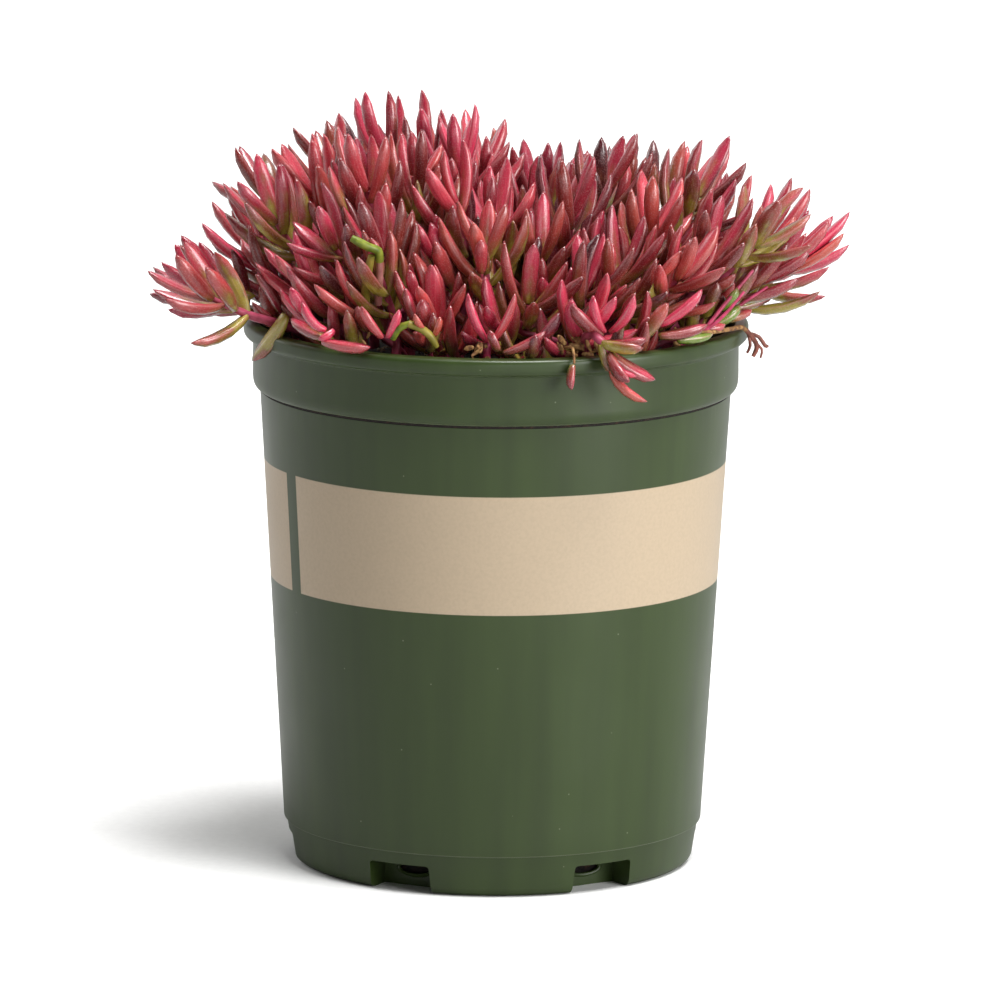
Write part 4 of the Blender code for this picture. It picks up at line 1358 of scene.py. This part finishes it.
def plan_rim(draw, room, owner):
    """Short shoots that stand close inside the lip."""
    extras = []
    for i in range(RIM_COUNT):
        angle = 2.0 * math.pi * (i + draw.uniform(-RIM_SHIFT, RIM_SHIFT)) / RIM_COUNT
        out = Vector((math.cos(angle), math.sin(angle), 0.0))
        root = out * draw.uniform(*RIM_CIRCLE)
        lean = math.radians(side_blend(RIM_LEAN_DEG, out.x, out.y)) * draw.uniform(*RIM_LEAN_CHANCE)
        aside = Vector((-out.y, out.x, 0.0)) * draw.uniform(-RIM_TILT, RIM_TILT)
        axis = (out * math.sin(lean) + UP * math.cos(lean) + aside).normalized()
        size = draw.uniform(*RIM_SIZE)
        tip = root + axis * (TUFT_LENGTH * size)
        tip.z = max(tip.z, POT_HEIGHT + draw.uniform(*RIM_TIP))
        foot = Vector((root.x, root.y, SOIL_TOP - RIM_ROOT_DEPTH))
        extra = grow_extra(draw, room, owner + i, [foot], tip, axis, size, RIM_OPENING)
        if extra:
            extras.append(extra)
    return extras


def plan_fill(room, main):
    """All the foliage that the solids leave out, grouped by the main shoot that it stands nearest."""
    draw = random.Random(FILL_SEED)
    room.clearance = FILL_CLEARANCE
    room.pot_clearance = FILL_POT_CLEARANCE
    groups = [[shoot] for shoot in main]
    owner = len(main)
    for layer in CLUMP_LAYERS:
        for i, shoot in enumerate(main[:SHOOT_COUNT]):
            groups[i] += plan_clump(draw, room, shoot, layer, owner)
            owner += layer.count
    for extra in plan_rim(draw, room, owner):
        nearest = min(range(SHOOT_COUNT), key=lambda i: (main[i].root - extra.root).length)
        groups[nearest].append(extra)
    return groups


# Leaves and stems as meshes

LEAFY_TREE = "Leafy shoot"
# What the tree reads from each point, and what of it only shapes the leaf and then goes
VECTORS = ("along", "lift")
FLOATS = ("length", "half_width", "bend", "sway", "thickness", "tone", "age", "warm", "green")
SHAPING = (*VECTORS, *FLOATS[:5], "unit")


def leafy_tree():
    """A tree that makes a leaf of every loose point, and a stem of every chain of edges.

    A leaf is a ball drawn out along a curved line: the point carries the line's direction, lift,
    length and bend, and the leaf's half width.
    """
    tree = bpy.data.node_groups.new(LEAFY_TREE, "GeometryNodeTree")
    for name, kind in (
        ("Growth", "Geometry"), ("Leaf sides", "Int"), ("Leaf rings", "Int"), ("Flatness", "Float"),
        ("Keel", "Float"), ("Stem sides", "Int"), ("Leaf material", "Material"),
        ("Stem material", "Material"),
    ):
        tree.interface.new_socket(name, in_out="INPUT", socket_type=f"NodeSocket{kind}")
    tree.interface.new_socket("Shoot", in_out="OUTPUT", socket_type="NodeSocketGeometry")
    given = node(tree, "NodeGroupInput").outputs
    stored = {}
    for name in (*VECTORS, *FLOATS[:6]):
        kind = "FLOAT_VECTOR" if name in VECTORS else "FLOAT"
        stored[name] = node(tree, "GeometryNodeInputNamedAttribute", {"Name": name}, data_type=kind)
    is_leaf = node(tree, "GeometryNodeInputNamedAttribute", {"Name": "is_leaf"}, data_type="BOOLEAN")
    parts = node(
        tree, "GeometryNodeSeparateGeometry", {"Geometry": given["Growth"], "Selection": is_leaf}
    ).outputs

    ball = node(
        tree, "GeometryNodeMeshUVSphere",
        {"Segments": given["Leaf sides"], "Rings": given["Leaf rings"], "Radius": 1.0},
    )
    here = node(tree, "GeometryNodeInputPosition")
    marked = node(
        tree, "GeometryNodeStoreNamedAttribute", {"Geometry": ball, "Name": "unit", "Value": here},
        data_type="FLOAT_VECTOR",
    )
    copies = node(tree, "GeometryNodeInstanceOnPoints", {"Points": parts["Selection"], "Instance": marked})
    real = node(tree, "GeometryNodeRealizeInstances", {"Geometry": copies})

    unit = node(tree, "GeometryNodeInputNamedAttribute", {"Name": "unit"}, data_type="FLOAT_VECTOR")
    heights = node(tree, "ShaderNodeSeparateXYZ", {"Vector": unit}).outputs
    t = maths(tree, "MULTIPLY_ADD", heights["Z"], -0.5, 0.5)
    round_flat = vector_maths(tree, "MULTIPLY", unit, (1.0, 1.0, 0.0))
    round_unit = vector_maths(tree, "NORMALIZE", round_flat)
    turn = node(tree, "ShaderNodeSeparateXYZ", {"Vector": round_unit}).outputs
    fullness = node(tree, "ShaderNodeFloatCurve", {"Value": t})
    draw_fullness(fullness.mapping)
    width = maths(tree, "MULTIPLY", fullness, stored["half_width"])

    side = vector_maths(tree, "CROSS_PRODUCT", stored["along"], stored["lift"])
    curve = vector_maths(tree, "SCALE", stored["lift"], stored["bend"])
    drift = vector_maths(tree, "SCALE", side, stored["sway"])
    bow = vector_maths(tree, "ADD", curve, drift)
    twice = maths(tree, "MULTIPLY", t, 2.0)
    slope = vector_maths(tree, "SCALE", bow, twice)
    ahead = vector_maths(tree, "ADD", stored["along"], slope)
    heading = vector_maths(tree, "NORMALIZE", ahead)
    through = vector_maths(tree, "CROSS_PRODUCT", side, heading)

    squared = maths(tree, "MULTIPLY", t, t)
    straight = vector_maths(tree, "SCALE", stored["along"], t)
    bent = vector_maths(tree, "SCALE", bow, squared)
    line = vector_maths(tree, "ADD", straight, bent)
    middle = vector_maths(tree, "SCALE", line, stored["length"])

    keeled = maths(tree, "MULTIPLY", turn["Y"], turn["Y"])
    lower = maths(tree, "MULTIPLY", keeled, given["Keel"])
    profile = maths(tree, "SUBTRACT", turn["Y"], lower)
    flat = maths(tree, "MULTIPLY", profile, given["Flatness"])
    depth = maths(tree, "MULTIPLY", flat, width)
    breadth = maths(tree, "MULTIPLY", turn["X"], width)
    beside = vector_maths(tree, "SCALE", side, breadth)
    deep = vector_maths(tree, "SCALE", through, depth)
    skin = vector_maths(tree, "ADD", beside, deep)
    local = vector_maths(tree, "ADD", middle, skin)
    offset = vector_maths(tree, "SUBTRACT", local, unit)
    shaped = node(tree, "GeometryNodeSetPosition", {"Geometry": real, "Offset": offset})

    reach = maths(tree, "MULTIPLY", t, stored["length"])
    apart = maths(tree, "MULTIPLY_ADD", stored["tone"], 7.0, reach)
    pattern = node(tree, "ShaderNodeCombineXYZ", {"X": breadth, "Y": depth, "Z": apart})
    for name, value, kind in (
        ("leaf_along", t, "FLOAT"), ("leaf_turn", round_unit, "FLOAT_VECTOR"),
        ("leaf_skin", pattern, "FLOAT_VECTOR"),
    ):
        shaped = node(
            tree, "GeometryNodeStoreNamedAttribute", {"Geometry": shaped, "Name": name, "Value": value},
            data_type=kind,
        )

    chain = node(tree, "GeometryNodeMeshToCurve", {"Mesh": parts["Inverted"]})
    smooth = node(tree, "GeometryNodeCurveSplineType", {"Curve": chain}, spline_type="CATMULL_ROM")
    fine = node(tree, "GeometryNodeSetSplineResolution", {"Geometry": smooth, "Resolution": 3})
    ring = node(
        tree, "GeometryNodeCurvePrimitiveCircle", {"Resolution": given["Stem sides"], "Radius": 1.0}
    )
    tube = node(
        tree, "GeometryNodeCurveToMesh",
        {"Curve": fine, "Profile Curve": ring, "Scale": stored["thickness"], "Fill Caps": True},
    )
    both = node(tree, "GeometryNodeJoinGeometry", {"Geometry": shaped})
    tree.links.new(tube.outputs[0], both.inputs["Geometry"])
    soft = node(tree, "GeometryNodeSetShadeSmooth", {"Geometry": both})
    whole = node(tree, "GeometryNodeRealizeInstances", {"Geometry": soft})
    stems = node(tree, "GeometryNodeSetMaterial", {"Geometry": whole, "Material": given["Stem material"]})
    leaves = node(
        tree, "GeometryNodeSetMaterial",
        {"Geometry": stems, "Selection": is_leaf, "Material": given["Leaf material"]},
    )
    node(tree, "NodeGroupOutput", {"Shoot": leaves})
    return tree


def fullness_drawn(t):
    """A leaf's half width as drawn: the planned one, but fuller towards its short point."""
    if t < LEAF_BELLY:
        return ROOT_FULLNESS + (1.0 - ROOT_FULLNESS) * math.sin(0.5 * math.pi * t / LEAF_BELLY)
    return 1.0 - ((t - LEAF_BELLY) / (1.0 - LEAF_BELLY)) ** TIP_BLUNTNESS


def draw_fullness(mapping):
    """Bend a curve node's line to a leaf's outline."""
    line = mapping.curves[0]
    line.points[0].location = (0.0, leaf_fullness(0.0))
    line.points[-1].location = (1.0, 0.0)
    for i in range(1, OUTLINE_STEPS):
        line.points.new(i / OUTLINE_STEPS, fullness_drawn(i / OUTLINE_STEPS))
    mapping.update()


def growth_mesh(name, stems, leaves):
    """Loose points for tinted leaves and chains of edges for stems, with all that the tree reads."""
    points, edges = [], []
    rows = {key: [] for key in (*FLOATS, *VECTORS, "is_leaf")}

    def put(point, values):
        points.append(point)
        for key, row in rows.items():
            row.append(values.get(key, (0.0, 0.0, 0.0) if key in VECTORS else 0.0))

    for leaf, tint in leaves:
        form = {key: getattr(leaf, key) for key in (*VECTORS, "length", "half_width", "bend")}
        put(leaf.root, {**form, **tint, "is_leaf": True})
    for stem in stems:
        for i, (point, radius) in enumerate(zip(stem.points, stem.radii)):
            if i:
                edges.append((len(points) - 1, len(points)))
            put(point, {"thickness": radius})
    mesh = bpy.data.meshes.new(name)
    mesh.from_pydata(points, edges, [])
    for key in FLOATS:
        mesh.attributes.new(key, "FLOAT", "POINT").data.foreach_set("value", rows[key])
    for key in VECTORS:
        flat = [value for vector in rows[key] for value in vector]
        mesh.attributes.new(key, "FLOAT_VECTOR", "POINT").data.foreach_set("vector", flat)
    kinds = [bool(value) for value in rows["is_leaf"]]
    mesh.attributes.new("is_leaf", "BOOLEAN", "POINT").data.foreach_set("value", kinds)
    return mesh


def trimmed(stem, head, axis, leaves):
    """The stem with its end drawn back to the root of its last leaf."""
    reach = max(((leaf.root - head).dot(axis) for leaf in leaves), default=0.0)
    return Stem(stem.points[:-1] + [head + axis * max(reach, SHORTEST_END)], stem.radii)


class Look:
    """How leaves differ in colour: drawn for each shoot, then a little for each leaf."""

    def __init__(self, seed):
        self.draw = random.Random(seed)
        self.warm = self.draw.uniform(*WARM_RANGE)

    def shoot_tint(self):
        """A shoot's tone, how far its leaves have turned olive, and how warm its reds are."""
        kind = self.draw.random()
        warm = self.warm + self.draw.uniform(-1, 1) * WARM_CHANCE
        if kind < WINE_SHARE:
            return self.draw.uniform(*WINE_TONE), WINE_AGE, warm + WINE_WARMTH
        if kind < WINE_SHARE + OLIVE_SHARE:
            return self.draw.uniform(*OLIVE_TONE), self.draw.uniform(*OLIVE_AGE), warm + OLIVE_WARMTH
        return self.draw.uniform(*TONE_RANGE), self.draw.uniform(*RED_AGE), warm

    def slimmed(self, leaf):
        """The leaf as drawn: a little slimmer than the room it was given."""
        return leaf._replace(half_width=leaf.half_width * self.draw.uniform(*SLENDER))

    def leaf_tint(self, tint, leaf):
        """One leaf's own tone, age, warmth and sideways bend."""
        tone, olive, warm = tint
        return {
            "tone": tone + self.draw.uniform(-1, 1) * TONE_CHANCE + YOUNG_PINK * (0.5 - leaf.age),
            "age": leaf.age * self.draw.uniform(*AGE_CHANCE) + olive,
            "warm": warm + self.draw.uniform(-1, 1) * WARM_CHANCE + YOUNG_WARMTH * (0.5 - leaf.age),
            "sway": self.draw.uniform(-SWAY, SWAY),
        }


def grown_piece(name, stems, leaves, tree, values, nodes=()):
    """One finished piece of foliage, grown by the tree."""
    obj = link_object(name, growth_mesh(name, stems, leaves))
    mesh = run_tree(obj, tree, values)
    for key in SHAPING:
        if key in mesh.attributes:
            mesh.attributes.remove(mesh.attributes[key])
    place(obj, "leaf_flesh", *nodes)


def tree_values(foliage, leaf_material, stem_material):
    """What the foliage settings give to the tree."""
    return {
        "Leaf sides": foliage.leaf_sides, "Leaf rings": foliage.leaf_rings, "Flatness": foliage.flatness,
        "Keel": foliage.keel, "Stem sides": foliage.stem_sides, "Leaf material": leaf_material,
        "Stem material": stem_material,
    }


def hooked(leaf):
    """A leaf of the trailing sprig, its tip bent up again."""
    return leaf._replace(bend=leaf.bend + TRAILING_HOOK * (1.0 - 0.5 * leaf.age))


def make_shoots(foliage):
    """Each shoot of the frame with the foliage about it, as one fine piece that replaces its node."""
    room = Room()
    main_shoots = plan_plant(room)
    trailing = main_shoots[-1]
    groups = plan_fill(room, main_shoots)
    tree = leafy_tree()
    flesh = leaf_flesh(foliage)
    values = tree_values(foliage, flesh, stem_skin("fresh_pink_stem", ("#7A2434", "#B8506A")))
    for i, shoots in enumerate(groups):
        look = Look(FILL_SEED + i)
        stems, leaves = [], []
        for shoot in shoots:
            tint = look.shoot_tint()
            if shoot is trailing:
                leaves += [(hooked(leaf), TINTS[TRAILING_TINTS[leaf.age]]) for leaf in shoot.leaves]
            else:
                leaves += [(look.slimmed(leaf), look.leaf_tint(tint, leaf)) for leaf in shoot.leaves]
            stems.append(trimmed(shoot.stem, shoot.head, shoot.axis, shoot.leaves))
        grown_piece(f"leafy_shoot_{i + 1:02d}", stems, leaves, tree, values, (f"shoot_{i + 1:02d}",))


def laid_leaf(root, tip, width, bend, toward):
    """A leaf from root to tip that bends towards one side."""
    chord = tip - root
    ahead = chord.normalized()
    side = (toward - ahead * toward.dot(ahead)).normalized()
    size = math.sqrt(1.0 + bend * bend)
    along = (ahead - side * bend) / size
    lift = (ahead * bend + side) / size
    return Leaf(root, along, lift, chord.length / size, width / 2.0, bend, 0.5)


def make_odd_leaves(foliage, soil):
    """The single leaves, bare stems and dried scraps that lie about the lip."""
    tree = bpy.data.node_groups.get(LEAFY_TREE) or leafy_tree()
    flesh = bpy.data.materials.get(LEAF_SKIN) or leaf_flesh(foliage)
    leaves = []
    for root, tip, width, bend, toward, tint in ODD_LEAVES:
        leaf = laid_leaf(Vector(root) * MM, Vector(tip) * MM, width * MM, bend, Vector(toward))
        leaves.append((leaf, TINTS[tint]))
    stems = {}
    for bends, width, kind in TWIGS:
        full, end = (width / divisor * MM for divisor in TWIG_DIVISORS)
        radii = [full] * (len(bends) - 1) + [end]
        stems.setdefault(kind, []).append(Stem([Vector(point) * MM for point in bends], radii))
    for kind, codes in STEM_HUES.items():
        values = tree_values(foliage, flesh, stem_skin(f"fresh_{kind}_stem", codes))
        grown_piece(f"{kind}_stems", stems[kind], leaves, tree, values)
        leaves = []
    dry = dry_leaf(soil)
    draw = random.Random(SCRAP_SEED)
    scraps = []
    for around, count in SCRAPS:
        for _ in range(count):
            angle = math.radians(around + draw.uniform(-SCRAP_SPREAD, SCRAP_SPREAD))
            out = Vector((math.sin(angle), -math.cos(angle), 0.0))
            root = out * draw.uniform(*SCRAP_RADIUS)
            root.z = draw.uniform(*SCRAP_HEIGHT)
            aim = Vector((draw.uniform(-1, 1), draw.uniform(-1, 1), draw.uniform(-0.3, 1))).normalized()
            width = draw.uniform(*SCRAP_WIDTH)
            tip = root + aim * draw.uniform(*SCRAP_LENGTH)
            scraps.append((laid_leaf(root, tip, width, draw.uniform(*SCRAP_BEND), out), {}))
    grown_piece("dry_scraps", stems["dry"], scraps, tree, tree_values(foliage, dry, dry))


# The stage: its floor, the sun's width and slant, and each soft box with its place and size
FLOOR_RADIUS = 8.0
SUN_WIDTH = math.radians(28)
SUN_SLANT = (math.radians(10), math.radians(11), 0.0)
LIGHTS_AIM = Vector((0.0, 0.0, 0.14))
SOFT_BOXES = {
    "key": ((1.55, -1.24, 0.60), (1.0, 1.0)),
    "front": ((0.25, -1.90, 0.28), (0.8, 0.4)),
    "rim": ((-1.6, 0.8, 0.90), (0.8, 1.0)),
}


def make_stage(stage):
    """A white floor, soft studio light and the photograph's camera."""
    scene = bpy.context.scene
    floor_mesh = bpy.data.meshes.new("studio_floor")
    bm = bmesh.new()
    bmesh.ops.create_circle(bm, cap_ends=True, segments=96, radius=FLOOR_RADIUS)
    bm.to_mesh(floor_mesh)
    bm.free()
    floor = link_object("studio_floor", floor_mesh)
    floor_mesh.materials.append(studio_floor())

    world = bpy.data.worlds.new("studio")
    world.use_nodes = True
    tree = world.node_tree
    tree.nodes.clear()
    toward = node(tree, "ShaderNodeTexCoord").outputs["Generated"]
    axes = node(tree, "ShaderNodeSeparateXYZ", {"Vector": toward})
    behind = remapped(tree, axes.outputs["Y"], (-0.35, 0.6), (0.06, 0.85))
    seen = node(tree, "ShaderNodeLightPath")
    strength = maths(tree, "MAXIMUM", behind, seen.outputs["Is Camera Ray"])
    light = node(tree, "ShaderNodeBackground", {"Color": (1.0, 1.0, 1.0, 1.0), "Strength": strength})
    node(tree, "ShaderNodeOutputWorld", {"Surface": light})
    scene.world = world

    for name, (centre, size) in SOFT_BOXES.items():
        soft_box(f"{name}_box", Vector(centre), size, getattr(stage, name))
    sun = bpy.data.lights.new("top_light", "SUN")
    sun.energy = stage.sky
    sun.angle = SUN_WIDTH
    sun_object = bpy.data.objects.new("top_light", sun)
    sun_object.rotation_euler = SUN_SLANT
    scene.collection.objects.link(sun_object)
    scene.view_settings.view_transform = "Standard"
    make_camera(stage)


def soft_box(name, centre, size, power):
    """An oblong soft light that faces the plant and stays out of the picture."""
    light = bpy.data.lights.new(name, "AREA")
    light.shape = "RECTANGLE"
    light.size, light.size_y = size
    light.energy = power
    obj = bpy.data.objects.new(name, light)
    aim = LIGHTS_AIM - centre
    obj.matrix_world = Matrix.Translation(centre) @ aim.to_track_quat("-Z", "Y").to_matrix().to_4x4()
    obj.visible_camera = False
    bpy.context.scene.collection.objects.link(obj)


# The photograph's view: where the lens's axis meets it, in its own pixels, and its slight roll
IMAGE_SIZE = 1000.0
AXIS_PIXEL = (494.7, 591.6)
AIM_HEIGHT = 88.0 * MM
ROLL = math.radians(0.45)
SENSOR = 0.036


def make_camera(stage):
    """A camera that stands and looks as the photograph's did."""
    focal = stage.lens / SENSOR * IMAGE_SIZE
    back = Vector((0.0, -math.cos(stage.elevation), math.sin(stage.elevation)))
    position = Vector((0.0, 0.0, AIM_HEIGHT)) + back * stage.distance
    right = Vector((1.0, 0.0, 0.0))
    up = right.cross(-back)
    across = (AXIS_PIXEL[0] - IMAGE_SIZE / 2) / focal
    upward = (IMAGE_SIZE / 2 - AXIS_PIXEL[1]) / focal
    forward = (-back - right * across - up * upward).normalized()
    level = forward.cross(UP).normalized()
    upright = level.cross(forward)
    x = level * math.cos(ROLL) + upright * math.sin(ROLL)
    y = upright * math.cos(ROLL) - level * math.sin(ROLL)
    data = bpy.data.cameras.new("camera")
    data.sensor_width = SENSOR / MM
    data.lens = stage.lens / MM
    data.clip_end = 100.0
    camera = bpy.data.objects.new("camera", data)
    matrix = Matrix((x, y, -forward)).transposed().to_4x4()
    matrix.translation = position
    camera.matrix_world = matrix
    bpy.context.scene.collection.objects.link(camera)
    bpy.context.scene.camera = camera


# The add-on: operators, panel and registration

class MESH_OT_ice_plant_pot(bpy.types.Operator):
    """Make the moulded nursery pot"""

    bl_idname = "mesh.ice_plant_pot"
    bl_label = "Nursery pot"

    def execute(self, context):
        make_pot(context.scene.ice_plant_pot)
        return {"FINISHED"}


class MESH_OT_ice_plant_soil(bpy.types.Operator):
    """Make the soil and the crumbs on it"""

    bl_idname = "mesh.ice_plant_soil"
    bl_label = "Soil and crumbs"

    def execute(self, context):
        make_soil(context.scene.ice_plant_pot, context.scene.ice_plant_soil)
        return {"FINISHED"}


class MESH_OT_ice_plant_shoots(bpy.types.Operator):
    """Make every leafy shoot"""

    bl_idname = "mesh.ice_plant_shoots"
    bl_label = "Leafy shoots"

    def execute(self, context):
        make_shoots(context.scene.ice_plant_foliage)
        return {"FINISHED"}


class MESH_OT_ice_plant_odds(bpy.types.Operator):
    """Make the odd leaves, bare stems and dried scraps about the lip"""

    bl_idname = "mesh.ice_plant_odds"
    bl_label = "Odd leaves and scraps"

    def execute(self, context):
        make_odd_leaves(context.scene.ice_plant_foliage, context.scene.ice_plant_soil)
        return {"FINISHED"}


class SCENE_OT_ice_plant_stage(bpy.types.Operator):
    """Make the floor, the light and the camera"""

    bl_idname = "scene.ice_plant_stage"
    bl_label = "Stage"

    def execute(self, context):
        make_stage(context.scene.ice_plant_stage)
        return {"FINISHED"}


class VIEW3D_PT_ice_plant(bpy.types.Panel):
    """Lists the plant's pieces and their settings."""

    bl_label = "Ice plant"
    bl_space_type = "VIEW_3D"
    bl_region_type = "UI"
    bl_category = "Ice plant"

    def draw(self, context):
        for operator, settings in STEPS:
            box = self.layout.box()
            box.operator(operator.bl_idname)
            if settings:
                group = getattr(context.scene, settings)
                for name in group.bl_rna.properties.keys():
                    if name not in ("rna_type", "name"):
                        box.prop(group, name)


SETTINGS = {
    "ice_plant_pot": PotSettings,
    "ice_plant_soil": SoilSettings,
    "ice_plant_foliage": FoliageSettings,
    "ice_plant_stage": StageSettings,
}
STEPS = [
    (MESH_OT_ice_plant_pot, "ice_plant_pot"),
    (MESH_OT_ice_plant_soil, "ice_plant_soil"),
    (MESH_OT_ice_plant_shoots, "ice_plant_foliage"),
    (MESH_OT_ice_plant_odds, None),
    (SCENE_OT_ice_plant_stage, "ice_plant_stage"),
]


def register():
    for name, group in SETTINGS.items():
        bpy.utils.register_class(group)
        setattr(bpy.types.Scene, name, PointerProperty(type=group))
    for operator, _ in STEPS:
        bpy.utils.register_class(operator)
    bpy.utils.register_class(VIEW3D_PT_ice_plant)


def unregister():
    bpy.utils.unregister_class(VIEW3D_PT_ice_plant)
    for operator, _ in reversed(STEPS):
        bpy.utils.unregister_class(operator)
    for name, group in reversed(SETTINGS.items()):
        delattr(bpy.types.Scene, name)
        bpy.utils.unregister_class(group)


def main():
    """Make every piece and the stage."""
    register()
    bpy.ops.mesh.ice_plant_pot()
    bpy.ops.mesh.ice_plant_soil()
    bpy.ops.mesh.ice_plant_shoots()
    bpy.ops.mesh.ice_plant_odds()
    bpy.ops.scene.ice_plant_stage()
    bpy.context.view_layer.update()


if __name__ == "__main__":
    main()
